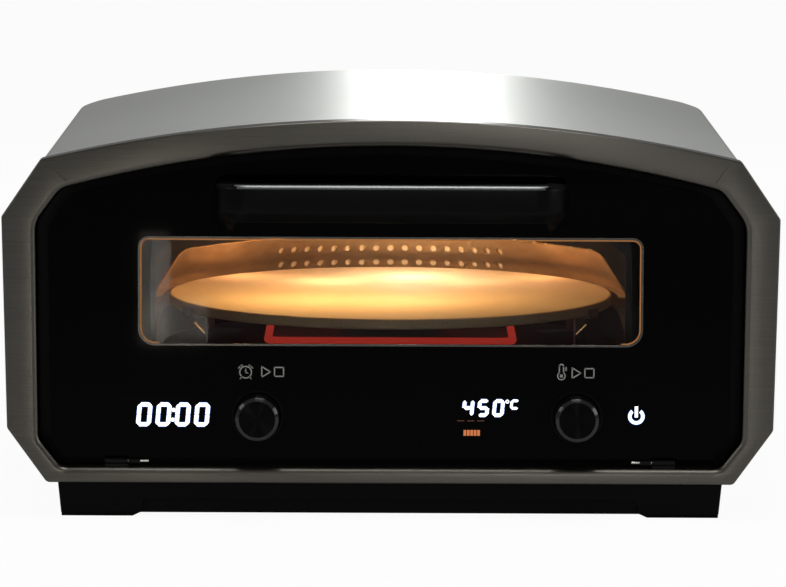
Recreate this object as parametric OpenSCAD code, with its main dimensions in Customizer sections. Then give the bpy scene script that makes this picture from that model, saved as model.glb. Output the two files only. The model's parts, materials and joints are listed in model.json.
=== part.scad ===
// Electric pizza maker: a low steel-cased stone oven with an arched roof and a
// drop-down front door that carries the window, the handle and the controls.
// Origin: middle of the rest plane under the feet. X to the right, Y to the back, Z up.
// Depths are measured back from the face of the steel front frame.

/* [Case] */
// Width of the steel front frame at its widest
frame_w = 500; // [460:1:560]
// Width of the front frame where its sides meet the lower corners
frame_low_w = 494; // [456:1:540]
// Width of the front frame between its two upper corners
frame_top_w = 450; // [420:1:456]
// Width of the front frame along its lower edge
frame_base_w = 443; // [420:1:450]
// Height of each lower slanted corner
low_corner_h = 35.3; // [30:0.1:44]
// Height of the straight sides
side_h = 137; // [134:1:160]
// Height of each upper slanted corner
top_corner_h = 36.7; // [30:0.1:44]
// Rise of the arched top over its upper corners
arch_rise = 26; // [22:1:34]
// Space between the oven hood and the rear edge of the case
rear_space = 49.6; // [44:0.1:90]
// Thickness of the front frame's sheet
frame_t = 1.5; // [1:0.1:2.5]
// Bend radius of the frame's rolled inner edge
frame_roll_r = 4.5; // [3.5:0.1:6]
// Depth of the frame's outer flange
frame_flange_d = 16; // [10:1:20]
// Depth of the frame's inner lip
frame_lip_d = 13; // [8:1:16]
// Thickness of the case panels
panel_t = 1; // [0.8:0.1:1.6]
// Bend radius of the case edges
edge_r = 6; // [4:0.5:9]
// Radius that the panels turn at the rear corners
rear_corner_r = 38; // [25:1:50]

/* [Door opening] */
// Height of the frame's lower band
band_low_h = 10; // [8:0.5:14]
// Height of the frame's band at the crown
band_top_h = 17.2; // [14:0.1:22]
// Width of the opening between its upper corners
mouth_top_w = 423; // [400:1:430]
// Widest width of the opening
mouth_w = 455; // [440:1:460]
// Width of the opening where its sides meet the lower corners
mouth_low_w = 452; // [440:1:456]
// Width of the opening along its lower edge
mouth_base_w = 424; // [400:1:430]
// Height of the opening's lower slanted corners
mouth_low_corner_h = 18; // [14:1:24]
// Height of the opening's straight sides
mouth_side_h = 140.5; // [130:0.5:142]
// Height of the opening's upper slanted corners
mouth_top_corner_h = 21.5; // [18:0.5:26]

/* [Door] */
// Gap between the door glass and the frame at the sides
gap_side = 7.3; // [5:0.1:9]
// Gap under the door glass
gap_low = 6.2; // [5.8:0.1:8]
// Gap above the door glass
gap_top = 4.8; // [4:0.1:7]
// Set-back of the glass face behind the frame face
glass_back = 1; // [0.5:0.1:2]
// Thickness of the front glass
glass_t = 4; // [3.5:0.1:5]
// Depth of the door chassis behind the glass
chassis_d = 19; // [16:0.5:19.5]
// Distance of the chassis edge inside the glass edge
chassis_inset = 3; // [2:0.5:6]
// Thickness of the inner door panel
inner_t = 1.2; // [0.8:0.1:1.5]
// Width of the window
window_w = 325; // [280:1:340]
// Height of the window
window_h = 71; // [60:1:76]
// Height of the window's lower edge above the case's lower edge
window_rise = 89; // [84:0.5:95]
// Width of the opening in the inner door panel
inner_window_w = 311; // [270:1:326]
// Height of the opening in the inner door panel
inner_window_h = 74; // [60:1:78]
// Distance of the inner opening's lower edge below the window's
inner_window_drop = 4; // [2:0.5:5]
// Width of the steel trim round the window
trim_w = 1.4; // [1.2:0.1:4]
// Thickness of each window pane
pane_t = 3; // [2:0.1:4]
// How far the door drops, in degrees
door_drop = 80; // [60:1:82]

/* [Hinges] */
// Height of the hinge axis above the opening's lower edge
hinge_rise = 3.9; // [3.8:0.1:5]
// Radius of the hinge pins
pin_r = 1.5; // [1.4:0.1:1.8]
// Outer radius of the hinge knuckles
knuckle_r = 2.7; // [2.5:0.1:3.2]
// Running clearance between pin and door knuckle
pin_clear = 0.05; // [0.02:0.01:0.1]
// Distance of each fixed knuckle's middle from the centre line
hinge_x = 176.5; // [160:0.5:185]
// Length of each fixed knuckle
knuckle_l = 15; // [12:1:18]
// Length of each door knuckle
leaf_l = 7.4; // [6:0.2:14]
// Length of pin that stands out of the door knuckle
pin_end = 5.5; // [2:0.5:10]

/* [Handle] */
// Overall width of the handle
handle_w = 227; // [180:1:260]
// Height of the handle bar
handle_h = 25; // [20:0.5:30]
// Reach of the handle in front of the frame face
handle_reach = 38; // [34:1:46]
// Thickness of the handle bar, front to back
handle_t = 14; // [10:0.5:16]
// Height of the bar's top edge above the case's lower edge
handle_rise = 197; // [192:0.5:198]
// Corner radius of the handle seen from above
handle_r = 22; // [16:1:26]
// Width of each handle leg
leg_w = 13; // [10:0.5:18]

/* [Controls] */
// Diameter of the knobs
knob_d = 28; // [24:0.5:32]
// Length of the knobs in front of the glass
knob_l = 18; // [14:0.5:24]
// Diameter of the ring round each knob
ring_d = 35; // [33:0.5:40]
// Height of the knob axes above the case's lower edge
knob_rise = 43.8; // [42:0.1:48]
// Distance of the timer knob from the centre line
timer_x = -85.4; // [-100:0.1:-75]
// Distance of the temperature knob from the centre line
heat_x = 120; // [105:0.5:135]
// How far a knob pushes in
push_travel = 1.2; // [0.8:0.1:1.6]
// Radius of the encoder shafts
shaft_r = 3; // [2.5:0.1:3.5]
// Width of each display window
disp_w = 56; // [50:1:60]

/* [Oven chamber] */
// Diameter of the baking stone
stone_d = 305; // [280:1:310]
// Thickness of the baking stone
stone_t = 7; // [6:0.5:12]
// Height of the stone's top face above the case's lower edge
stone_rise = 96; // [95:0.5:98]
// Depth of the stone's centre behind the frame face
stone_depth = 240.4; // [235:0.1:270]
// Half-width of the hood at its foot
hood_foot_r = 165; // [160:0.5:172]
// Lean of the hood wall: how far it draws in for each millimetre of height
hood_lean = 0.64; // [0.5:0.01:0.66]
// Height of the hood's leaning wall
hood_wall_h = 33.5; // [30:0.5:40]
// Height of the hood's crown above its leaning wall
hood_crown_h = 11; // [8:0.5:12]
// Thickness of the hood's sheet
hood_t = 1; // [0.8:0.1:1.5]
// Height of the chamber's front part above the pan's rim
front_part_h = 86; // [80:1:92]
// Number of holes in each row at the back of the hood
hole_count = 17; // [9:2:21]
// Diameter of the holes in the hood
hole_d = 4.6; // [3:0.1:6]
// Distance between neighbouring holes
hole_pitch = 10.3; // [9.5:0.1:12]
// Radius of the heating tubes
element_r = 2.6; // [2:0.1:3.2]
// Depth of the pan under the stone
pan_d = 22; // [20:1:26]

/* [Base] */
// Height of the steel case above the table
base_h = 23.7; // [20:0.1:28]
// Width of the plinth at its top
plinth_w = 429; // [400:1:440]
// How far the plinth's sides draw in at the bottom
plinth_taper = 2; // [0:0.5:6]
// Wall thickness of the plinth
plinth_t = 3; // [2.5:0.5:4]
// Width of each foot block
foot_w = 46; // [34:1:50]
// Height of the foot blocks under the plinth
foot_h = 2.7; // [1:0.1:4]
// Height of the rubber pads below the foot blocks
pad_h = 0.8; // [0.6:0.1:3]

/* [Hidden] */

steel_dark = "#5b5a55";
steel_light = "#a9aba6";
black_gloss = "#0b0b0c";
black_matt = "#1c1c1e";

case_d = stone_depth + hood_foot_r + rear_space;
front_y = (handle_reach - case_d) / 2;
corner_steps = 4;
fine_steps = 10;
arch_steps = 32;
// Widest extent that a cutting block needs
far = 600;
cut = 1;

// ---- outlines: [low half-width, low z, corner half-width, corner z, side half-width,
//                 side z, top half-width, top z, crown z] ----
frame_o = [frame_base_w / 2, base_h,
    frame_low_w / 2, base_h + low_corner_h,
    frame_w / 2, base_h + low_corner_h + side_h,
    frame_top_w / 2, base_h + low_corner_h + side_h + top_corner_h,
    base_h + low_corner_h + side_h + top_corner_h + arch_rise];
window_z = base_h + window_rise;
inner_window_z = window_z - inner_window_drop;
handle_z = base_h + handle_rise;
knob_z = base_h + knob_rise;
stone_z = base_h + stone_rise;
mouth_z = base_h + band_low_h;
mouth_o = [mouth_base_w / 2, mouth_z,
    mouth_low_w / 2, mouth_z + mouth_low_corner_h,
    mouth_w / 2, mouth_z + mouth_low_corner_h + mouth_side_h,
    mouth_top_w / 2, mouth_z + mouth_low_corner_h + mouth_side_h + mouth_top_corner_h,
    frame_o[8] - band_top_h];

function unit(v) = v / norm(v);
function turn(v) = [-v[1], v[0]];
function cross2(a, b) = a[0] * b[1] - a[1] * b[0];
// Meeting point of the line through p along d with the line through q along e
function meet(p, d, q, e) = p + d * cross2(q - p, e) / cross2(d, e);
// Radius and centre height of the arch of an outline
function arch_r(o) = (pow(o[6], 2) + pow(o[8] - o[7], 2)) / 2 / (o[8] - o[7]);
function arch_z(o, x) = o[8] - arch_r(o) + sqrt(pow(arch_r(o), 2) - x * x);

// The outline drawn in by its own gap at each kind of edge
function inset(o, low, corner, side, slant, top) =
    let(p0 = [o[0], o[1]], p1 = [o[2], o[3]], p2 = [o[4], o[5]], p3 = [o[6], o[7]],
        d0 = [1, 0], d1 = unit(p1 - p0), d2 = unit(p2 - p1), d3 = unit(p3 - p2),
        q0 = p0 + turn(d0) * low, q1 = p1 + turn(d1) * corner,
        q2 = p2 + turn(d2) * side, q3 = p3 + turn(d3) * slant,
        a = meet(q0, d0, q1, d1), b = meet(q1, d1, q2, d2), c = meet(q2, d2, q3, d3),
        r = arch_r(o) - top, zc = o[8] - arch_r(o),
        w = q3 - [0, zc], k = w * d3,
        s = -k + sqrt(k * k - w * w + r * r),
        e = q3 + d3 * s)
    [a[0], a[1], b[0], b[1], c[0], c[1], e[0], e[1], zc + r];
function shrink(o, t) = inset(o, t, t, t, t, t);
// The outline with its two halves moved together by d, under the same arch
function narrow(o, d) = [o[0] - d, o[1], o[2] - d, o[3], o[4] - d, o[5], o[6] - d,
    arch_z(o, o[6] - d), o[8]];

// An arc of n steps in place of the corner p between the points a and b
function corner_arc(a, p, b, r, n = corner_steps) =
    let(u = unit(a - p), v = unit(b - p), half = acos(u * v) / 2,
        c = p + unit(u + v) * r / sin(half),
        s = p + u * r / tan(half) - c, e = p + v * r / tan(half) - c,
        sweep = cross2(s, e) > 0 ? 180 - 2 * half : 2 * half - 180,
        a0 = atan2(s[1], s[0]))
    [for (i = [0:n]) c + r * [cos(a0 + sweep * i / n), sin(a0 + sweep * i / n)]];
function rounded(pts, radii, steps = corner_steps) =
    let(n = len(pts))
    [for (i = [0:n - 1]) each radii[i] > 0
        ? corner_arc(pts[(i + n - 1) % n], pts[i], pts[(i + 1) % n], radii[i], steps)
        : [pts[i]]];
// Four corner radii, low to top, all changed by d and kept above a small least radius
function radii_by(r, d) = [for (v = r) max(v + d, 0.5)];
function same(r) = [r, r, r, r];
// Closed list of points of an outline; r gives the radii of its low, lower side, upper side
// and top corners
function outline(o, r) =
    let(arch = [for (i = [1:arch_steps - 1]) let(x = o[6] * (1 - 2 * i / arch_steps))
            [x, arch_z(o, x)]],
        pts = concat([[-o[0], o[1]], [o[0], o[1]], [o[2], o[3]], [o[4], o[5]], [o[6], o[7]]],
            arch, [[-o[6], o[7]], [-o[4], o[5]], [-o[2], o[3]]]),
        radii = concat([r[0], r[0], r[1], r[2], r[3]], [for (p = arch) 0], [r[3], r[2], r[1]]))
    rounded(pts, radii);
frame_radii = [4, 4, 4, 4];
mouth_radii = [8, 11, 18, 14];
door_radii = [3.5, 5, 16, 14];

// ---- drawing helpers ----
// A plate whose outline is drawn in X and Z, from one depth to another
module slab(from, to) {
    translate([0, front_y + to, 0]) rotate([90, 0, 0]) linear_extrude(to - from) children();
}
// A bar whose section is drawn in Y (depth) and Z, from one X to another
module bar(from, to) {
    translate([from, front_y, 0]) rotate([90, 0, 90]) linear_extrude(to - from) children();
}
// A block given by X, depth and Z ranges
module block(x, d, z) {
    translate([x[0], front_y + d[0], z[0]]) cube([x[1] - x[0], d[1] - d[0], z[1] - z[0]]);
}
// A round bar along the depth
module rod(x, z, r, from, to) {
    translate([x, front_y + to, z]) rotate([90, 0, 0]) cylinder(r = r, h = to - from, $fn = 48);
}
// A round bar along X
module pin(x0, x1, d, z, r) {
    translate([x0, front_y + d, z]) rotate([0, 90, 0]) cylinder(r = r, h = x1 - x0, $fn = 48);
}
// Both sides of the centre line
module both() {
    children();
    mirror([1, 0, 0]) children();
}
module round_rect(w, h, r) {
    polygon(rounded([[-w / 2, 0], [w / 2, 0], [w / 2, h], [-w / 2, h]], [r, r, r, r]));
}
// A solid through equal rings of points
module loft(rings) {
    n = len(rings[0]);
    m = len(rings);
    sides = [for (j = [0:m - 2], i = [0:n - 1])
        each [[j * n + i, j * n + (i + 1) % n, (j + 1) * n + (i + 1) % n],
              [j * n + i, (j + 1) * n + (i + 1) % n, (j + 1) * n + i]]];
    polyhedron([for (r = rings) each r],
        concat([[for (i = [n - 1:-1:0]) i]], sides, [[for (i = [0:n - 1]) (m - 1) * n + i]]));
}
function ring_at(pts, d) = [for (p = pts) [p[0], front_y + d, p[1]]];

// ---- case panels ----
case_o = shrink(frame_o, frame_t);
case_front = 2;
rear_turn = 44;
rear_steps = 5;
rear_inset = 4;
// How far the skin has turned in at a depth
function rear_draw(d) =
    rear_corner_r * (1 - cos(asin((d - case_d) / rear_corner_r + sin(rear_turn))));
// Rings of the case skin: straight along the depth, then turning in at the rear corners
function case_rings(t) =
    concat([ring_at(outline(shrink(case_o, t), same(edge_r - t)),
            case_front - (t > 0 ? cut : 0))],
        [for (i = [0:rear_steps])
            let(a = rear_turn * i / rear_steps,
                d = case_d - rear_corner_r * sin(rear_turn) + rear_corner_r * sin(a)
                    + (i == rear_steps && t > 0 ? cut : 0))
            ring_at(outline(shrink(narrow(case_o, rear_corner_r * (1 - cos(a))), t),
                same(edge_r - t)), d)]);
module case_skin() {
    difference() {
        loft(case_rings(0));
        loft(case_rings(panel_t));
    }
}
case_inner = shrink(case_o, panel_t);
rear_fit = 0.1;
case_rear = shrink(narrow(case_o, rear_draw(case_d - rear_inset)), panel_t + rear_fit);
// The roof's sheet ends a little below the widest line of the case
seam_drop = 6;
seam_z = case_o[5] - seam_drop;
chassis_from = glass_back + glass_t;
side_lip = 14;
inner_radii = same(edge_r - panel_t);

roll_steps = 5;
// Rings along the frame's rolled inner edge: a quarter circle of radius frame_roll_r less t,
// from the face round to the lip, with a straight run before and after it
function roll_rings(t) =
    let(r = frame_roll_r - t,
        arc = [for (i = [0:roll_steps]) let(a = 90 * i / roll_steps)
            [frame_roll_r - r * sin(a), frame_roll_r - r * cos(a)]],
        all = concat([[arc[0][0], arc[0][1] - (t > 0 ? 0 : cut)]], t > 0 ? [] : [arc[0]],
            [for (i = [1:roll_steps]) arc[i]], [[t, frame_lip_d + cut]]))
    [for (p = all) ring_at(outline(shrink(mouth_o, -p[0]), radii_by(mouth_radii, p[0])), p[1])];
module mouth_shape(grow) {
    polygon(outline(shrink(mouth_o, -grow), radii_by(mouth_radii, grow)));
}
// The steel frame: flat face, outer flange, and an inner edge rolled back into a lip
module front_frame() {
    color(steel_dark) difference() {
        union() {
            slab(0, frame_t) polygon(outline(frame_o, frame_radii));
            slab(0, frame_flange_d) difference() {
                polygon(outline(frame_o, frame_radii));
                polygon(outline(shrink(frame_o, frame_t), radii_by(frame_radii, -frame_t)));
            }
            slab(0, frame_lip_d) mouth_shape(frame_roll_r);
        }
        loft(roll_rings(0));
        difference() {
            slab(frame_t, frame_lip_d + cut) mouth_shape(frame_roll_r + cut);
            loft(roll_rings(frame_t));
        }
    }
}
// Arched top with both upper slanted sides, folded from one sheet
module roof_panel() {
    color(steel_light) intersection() {
        case_skin();
        block([-far, far], [-far, far], [seam_z, far]);
    }
}
vent_count = 9;
vent_pitch = 11;
vent_l = 60;
vent_h = 4;
// Place of the side slots: before the rear edge and above the lower corner
vent_back = 150;
vent_rise = 20;
// One side with its lower slanted corner and a block of louvre slots
module side_panel() {
    low = base_h + low_corner_h + vent_rise;
    difference() {
        intersection() {
            case_skin();
            block([-far, -case_o[0] + side_lip], [-far, far], [0, seam_z]);
        }
        for (i = [0:vent_count - 1])
            block([-far, -case_o[0]],
                [case_d - vent_back + i * vent_pitch, case_d - vent_back + i * vent_pitch + vent_h],
                [low, low + vent_l]);
    }
}
module left_side_panel() {
    color(steel_dark) side_panel();
}
module right_side_panel() {
    color(steel_dark) mirror([1, 0, 0]) side_panel();
}
gland_x = 150;
gland_z = base_h + 40.5;
gland_r = 8;
rear_face = case_d - rear_inset;
rear_rim = 8;
slot_n = 14;
slot_pitch = 20;
slot_w = 4;
slot_l = 40;
slot_rise = 78.5;
slot_row_pitch = 56;
screw_r = 2;
screw_head_r = 3.8;
screw_head_h = 2;
screw_l = 6;
screw_clear = 0.2;
rear_screws = [for (x = [-200, 200], z = [38.5, 148.5]) [x, base_h + z],
    for (x = [-90, 90]) [x, base_h + 214.5]];
// Flat back with a turned rim, rows of vent slots and the holes for the lead and the screws
module rear_panel() {
    color(steel_dark) difference() {
        union() {
            slab(rear_face - panel_t, rear_face) polygon(outline(case_rear, inner_radii));
            slab(rear_face - rear_rim, rear_face) difference() {
                polygon(outline(shrink(case_rear, panel_t), inner_radii));
                polygon(outline(shrink(case_rear, 2 * panel_t), inner_radii));
            }
        }
        for (i = [0:slot_n - 1], j = [0, 1])
            let(x = (i - (slot_n - 1) / 2) * slot_pitch, z = base_h + slot_rise + j * slot_row_pitch)
            block([x - slot_w / 2, x + slot_w / 2], [rear_face - 2 * panel_t, case_d + cut],
                [z, z + slot_l]);
        rod(gland_x, gland_z, gland_r + rear_fit, rear_face - 2 * panel_t, case_d + cut);
        for (s = rear_screws)
            rod(s[0], s[1], screw_r + screw_clear, rear_face - 2 * panel_t, case_d + cut);
    }
}
bulk_from = 29;
bulk_t = 1.5;
bulk_rim = 9;
floor_z = case_o[1] + 2 * panel_t;
floor_front = 10;
floor_slot_n = 10;
floor_slot_pitch = 25;
floor_slot_w = 6;
floor_slot_l = 80;
floor_slot_back = 90;
// Bottom plate, resting on the turned-in lips of both side panels
module bottom_plate() {
    half = case_o[0] - panel_t - edge_r;
    color(steel_dark) difference() {
        block([-half, half], [bulk_from + floor_front, rear_face - rear_rim - panel_t],
            [floor_z - panel_t, floor_z]);
        for (i = [0:floor_slot_n - 1])
            let(x = (i - (floor_slot_n - 1) / 2) * floor_slot_pitch)
            block([x - floor_slot_w / 2, x + floor_slot_w / 2],
                [stone_depth - floor_slot_back, stone_depth - floor_slot_back + floor_slot_l],
                [0, floor_z + cut]);
    }
}

// ---- base ----
plinth_front = 4;
plinth_back = case_d - 14;
plinth_seat = 0.1;
plinth_top = base_h - plinth_seat;
plinth_low = foot_h + pad_h;
foot_d = 46;
foot_edge = 4;
foot_slope = 9;
foot_x = plinth_w / 2 - plinth_taper - foot_w / 2;
foot_depths = [plinth_front + foot_d / 2 + foot_edge, plinth_back - foot_d / 2 - foot_edge];
module plinth_section(t) {
    lift = t > 0 ? t : 0;
    over = t > 0 ? cut : 0;
    polygon([[-plinth_w / 2 + plinth_taper + t, plinth_low + lift],
        [plinth_w / 2 - plinth_taper - t, plinth_low + lift],
        [plinth_w / 2 - t, plinth_top + over], [-plinth_w / 2 + t, plinth_top + over]]);
}
seat_in = 14;
seat_w = 8;
recess_d = 2;
recess_h = 9;
recess_edge = 4;
rib_n = 5;
rib_pitch = 70;
rib_h = 8;
// Moulded base: an open tray with foot blocks, ribs, a set-back front and seats for the case
module base_plinth() {
    half = foot_x - foot_w / 2 - recess_edge;
    color(black_matt) difference() {
        union() {
            difference() {
                slab(plinth_front, plinth_back) plinth_section(0);
                slab(plinth_front + plinth_t, plinth_back - plinth_t) plinth_section(plinth_t);
            }
            both() block([plinth_w / 2 - seat_in, plinth_w / 2 - seat_in + seat_w],
                [frame_flange_d + foot_edge, plinth_back - 2 * plinth_t],
                [plinth_low + cut, case_o[1]]);
            for (i = [0:rib_n - 1])
                let(d = (plinth_front + plinth_back) / 2 + (i - (rib_n - 1) / 2) * rib_pitch)
                block([-plinth_w / 2 + seat_in, plinth_w / 2 - seat_in],
                    [d - plinth_t / 2, d + plinth_t / 2], [plinth_low + cut, plinth_low + rib_h]);
            for (d = foot_depths) both() translate([foot_x, front_y + d, pad_h])
                foot_block();
        }
        slab(plinth_front - cut, plinth_front + recess_d)
            polygon([[-half, 0], [half, 0], [half - foot_edge, plinth_low + recess_h],
                [-half + foot_edge, plinth_low + recess_h]]);
        for (d = foot_depths) both() translate([foot_x, front_y + d, pad_h - cut])
            pad_shape(pad_l + 2 * pad_fit, pad_w + 2 * pad_fit, pad_sink + cut);
    }
}
module foot_block() {
    rotate([90, 0, 0]) linear_extrude(foot_d, center = true)
        polygon([[-foot_w / 2, 0], [foot_w / 2, 0], [foot_w / 2, foot_h + plinth_t / 2],
            [-foot_w / 2 - foot_slope, foot_h + plinth_t / 2]]);
}
pad_l = 34;
pad_w = 24;
pad_fit = 0.1;
pad_sink = 1;
module pad_shape(l, w, h) {
    linear_extrude(h) union() {
        square([l - w, w], center = true);
        for (s = [-1, 1]) translate([s * (l - w) / 2, 0]) circle(d = w, $fn = 40);
    }
}
module rubber_feet() {
    color("#232323") for (d = foot_depths) both() translate([foot_x, front_y + d, 0])
        pad_shape(pad_l, pad_w, pad_h + pad_sink);
}
module case_screws() {
    color("silver") for (s = rear_screws) {
        rod(s[0], s[1], screw_head_r, rear_face, rear_face + screw_head_h);
        rod(s[0], s[1], screw_r, rear_face - screw_l, rear_face);
    }
}

// ---- oven chamber ----
stone_y = front_y + stone_depth;
// The pan's rim carries the hood and the front part; the hood's own ledge is level with the stone
pan_rim_drop = 13.5;
pan_rim_z = stone_z - pan_rim_drop;
ledge_drop = 2.5;
ledge_z = stone_z - ledge_drop;
ledge_w = 7;
hood_lead = 5.4;
hood_front = stone_depth - hood_lead;
function hood_half(z) = hood_foot_r - hood_lean * max(z - ledge_z, 0);
knee_z = ledge_z + hood_wall_h;
knee_r = 4;
crown_z = knee_z + hood_crown_h;
crown_steps = 12;
hood_arch_r = (pow(hood_half(knee_z), 2) + pow(hood_crown_h, 2)) / 2 / hood_crown_h;
function hood_top_z(r) = crown_z - hood_arch_r + sqrt(pow(hood_arch_r, 2) - r * r);
// Half section of the hood from the pan's rim to the crown, drawn in by t
function hood_half_pts(t) =
    let(foot = [hood_foot_r - t, pan_rim_z], ledge = [hood_foot_r - t, ledge_z],
        knee = [hood_half(knee_z) - t, knee_z - t],
        arch = [for (i = [1:crown_steps]) let(x = knee[0] * (1 - i / crown_steps))
            [x, hood_top_z(x) - t]])
    concat([foot, ledge], corner_arc(ledge, knee, arch[0], knee_r), arch);
module hood_section(t, open) {
    half = hood_half_pts(t);
    polygon(concat([[0, pan_rim_z - open], [half[0][0], pan_rim_z - open]], half));
}
module hood_solid(t, open, from) {
    slab(from, stone_depth) {
        hood_section(t, open);
        mirror([1, 0]) hood_section(t, open);
    }
    translate([0, stone_y, 0]) rotate_extrude(angle = 180, $fn = 96) hood_section(t, open);
}
hole_rows = [ledge_z + 5, ledge_z + 16];
hole_reach = 12;
tube_clear = 0.4;
// Outline of the chamber's front part, grown by t
front_part_half = hood_foot_r + 3;
front_part_top = pan_rim_z + front_part_h;
front_part_r = 12;
module front_part_2d(t, low) {
    half = front_part_half + t;
    polygon(rounded([[-half, low], [half, low], [half, front_part_top + t],
        [-half, front_part_top + t]], [0, 0, front_part_r + t, front_part_r + t]));
}
hood_brown = "#9a8468";
// The seam between the hood's wall and its crown, just under the bend
hood_seam_z = knee_z - 1.1;
// Upright seat of the hood: a skirt on the pan's rim, turned in to a ledge at the stone's level
module hood_seat() {
    color(hood_brown) difference() {
        translate([0, 0, pan_rim_z]) linear_extrude(ledge_z - pan_rim_z) hood_plan(hood_foot_r);
        translate([0, 0, pan_rim_z - cut]) linear_extrude(ledge_z - hood_t - pan_rim_z + cut)
            hood_plan(hood_foot_r - hood_t);
        linear_extrude(far) hood_plan(hood_foot_r - hood_t - ledge_w);
        block([-far, far], [-far, hood_front], [0, far]);
    }
}
// Sheet of the hood, half-round at the back, with two rows of holes
module hood_shell() {
    difference() {
        hood_solid(0, 0, hood_front);
        hood_solid(hood_t, cut, hood_front - cut);
        for (z = hole_rows, i = [0:hole_count - 1])
            translate([0, stone_y, z])
                rotate([0, 0, 90 + (i - (hole_count - 1) / 2) * hole_pitch / hood_half(z)
                    * 180 / PI])
                rotate([0, 90, 0]) translate([0, 0, hood_half(z) - hole_reach])
                cylinder(d = hole_d, h = 2 * hole_reach, $fn = 16);
        rod(probe_x, probe_z, probe_r + tube_clear, stone_depth, case_d);
        translate([0, stone_y + lamp_back, knee_z])
            cylinder(r = lamp_r + lamp_gap, h = hood_crown_h + hood_t, $fn = 40);
    }
}
// Leaning wall of the hood, which follows the stone's rear half
module oven_hood() {
    color(hood_brown) intersection() {
        hood_shell();
        block([-far, far], [0, far], [ledge_z, hood_seam_z]);
    }
}
// Arched crown of the hood, with the bend and the hole for the lamp
module hood_crown() {
    color(hood_brown) intersection() {
        hood_shell();
        block([-far, far], [0, far], [hood_seam_z, far]);
    }
}
// The chamber seen from above, from well in front of the stone's centre
module hood_plan(r) {
    translate([0, stone_y]) circle(r = r, $fn = 96);
    translate([-r, front_y]) square([2 * r, stone_depth]);
}
// Front part of the chamber: a box from the bulkhead back, with the hood's arch in its rear wall
module mouth_liner() {
    color("#6d675c") difference() {
        slab(bulk_from + bulk_t, hood_front) front_part_2d(hood_t, pan_rim_z);
        slab(bulk_from, hood_front - hood_t) front_part_2d(0, pan_rim_z - cut);
        hood_solid(hood_t, cut, hood_front - 2 * hood_t);
        both() rod(top_leg, top_z, element_r + tube_clear, hood_front - 2 * hood_t,
            hood_front + cut);
    }
}
// The opening into the chamber: upright sides with slanted upper corners
throat_half = 152;
throat_corner_h = 63.5;
throat_top_half = 128;
throat_top_h = 83;
throat_r = 4;
module throat_2d() {
    polygon(rounded([[-throat_half, pan_rim_z], [throat_half, pan_rim_z],
        [throat_half, pan_rim_z + throat_corner_h], [throat_top_half, pan_rim_z + throat_top_h],
        [-throat_top_half, pan_rim_z + throat_top_h],
        [-throat_half, pan_rim_z + throat_corner_h]], same(throat_r)));
}
module bulkhead() {
    color("#26251f") difference() {
        union() {
            slab(bulk_from, bulk_from + bulk_t) polygon(outline(case_inner, inner_radii));
            slab(bulk_from, bulk_from + bulk_rim) difference() {
                polygon(outline(case_inner, inner_radii));
                polygon(outline(shrink(case_inner, bulk_t), inner_radii));
            }
        }
        slab(bulk_from - cut, bulk_from + bulk_t + cut) throat_2d();
    }
}
seal_w = 7;
seal_half = 168;
seal_low = 3;
seal_h = 96;
seal_r = 14;
seal_gap = 0.3;
// The seal stops just short of the closed door
seal_front = chassis_from + chassis_d + inner_t + seal_gap;
module seal_2d(grow) {
    translate([0, pan_rim_z - seal_low - grow])
        round_rect(2 * (seal_half + grow), seal_h + 2 * grow, seal_r + grow);
}
module door_seal() {
    color("#2b2b2b") slab(seal_front, bulk_from) difference() {
        seal_2d(seal_w);
        seal_2d(0);
    }
}

pan_front = bulk_from + bulk_t;
pan_z = pan_rim_z - pan_d;
pan_in = 8;
pan_lip = 7;
pan_wall_front = 20;
pan_half = hood_foot_r - pan_in;
module pan_plan(r, from) {
    translate([0, stone_y]) circle(r = r, $fn = 120);
    translate([-r, front_y + from]) square([2 * r, stone_depth - from]);
}
// Pan under the stone, with the rim that the hood and the front part stand on
module stone_pan() {
    color("#4f4a42") difference() {
        union() {
            translate([0, 0, pan_rim_z - hood_t]) linear_extrude(hood_t)
                pan_plan(hood_foot_r + pan_lip, pan_front);
            translate([0, 0, pan_z - hood_t]) linear_extrude(pan_d)
                pan_plan(pan_half + hood_t, pan_front + pan_wall_front);
        }
        translate([0, 0, pan_z]) linear_extrude(pan_d + cut)
            pan_plan(pan_half, pan_front + pan_wall_front + hood_t);
        both() rod(low_leg, low_z, element_r + tube_clear, stone_depth, case_d);
    }
}
rest_from = 118;
rest_l = 26;
rest_w = 14;
rest_t = 1.5;
rest_stop_h = 6;
rest_gap = 0.6;
rest_angle = 27;
rest_tip = stone_d / 2 + rest_gap;
// Bent brackets that hold the stone clear of the lower heating tube
module stone_rests() {
    under = stone_z - stone_t;
    color("#8d8574") for (a = [rest_angle, 180 - rest_angle, 180 + rest_angle, 360 - rest_angle])
        translate([0, stone_y, 0]) rotate([0, 0, a]) translate([0, -rest_w / 2, 0]) {
            translate([rest_from, 0, pan_z]) cube([rest_l, rest_w, rest_t]);
            translate([rest_from + rest_l - rest_t, 0, pan_z]) cube([rest_t, rest_w, under - pan_z]);
            translate([rest_from, 0, under - rest_t]) cube([rest_tip + rest_t - rest_from, rest_w,
                rest_t]);
            translate([rest_tip, 0, under - rest_t]) cube([rest_t, rest_w, rest_stop_h]);
        }
}
stone_edge_r = 1.5;
module pizza_stone() {
    color("#d9b98c") translate([0, stone_y, 0]) rotate_extrude($fn = 180) polygon([
        [0, stone_z - stone_t], [stone_d / 2 - stone_edge_r, stone_z - stone_t],
        [stone_d / 2, stone_z - stone_t + stone_edge_r], [stone_d / 2, stone_z - stone_edge_r],
        [stone_d / 2 - stone_edge_r, stone_z], [0, stone_z]]);
}
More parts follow.
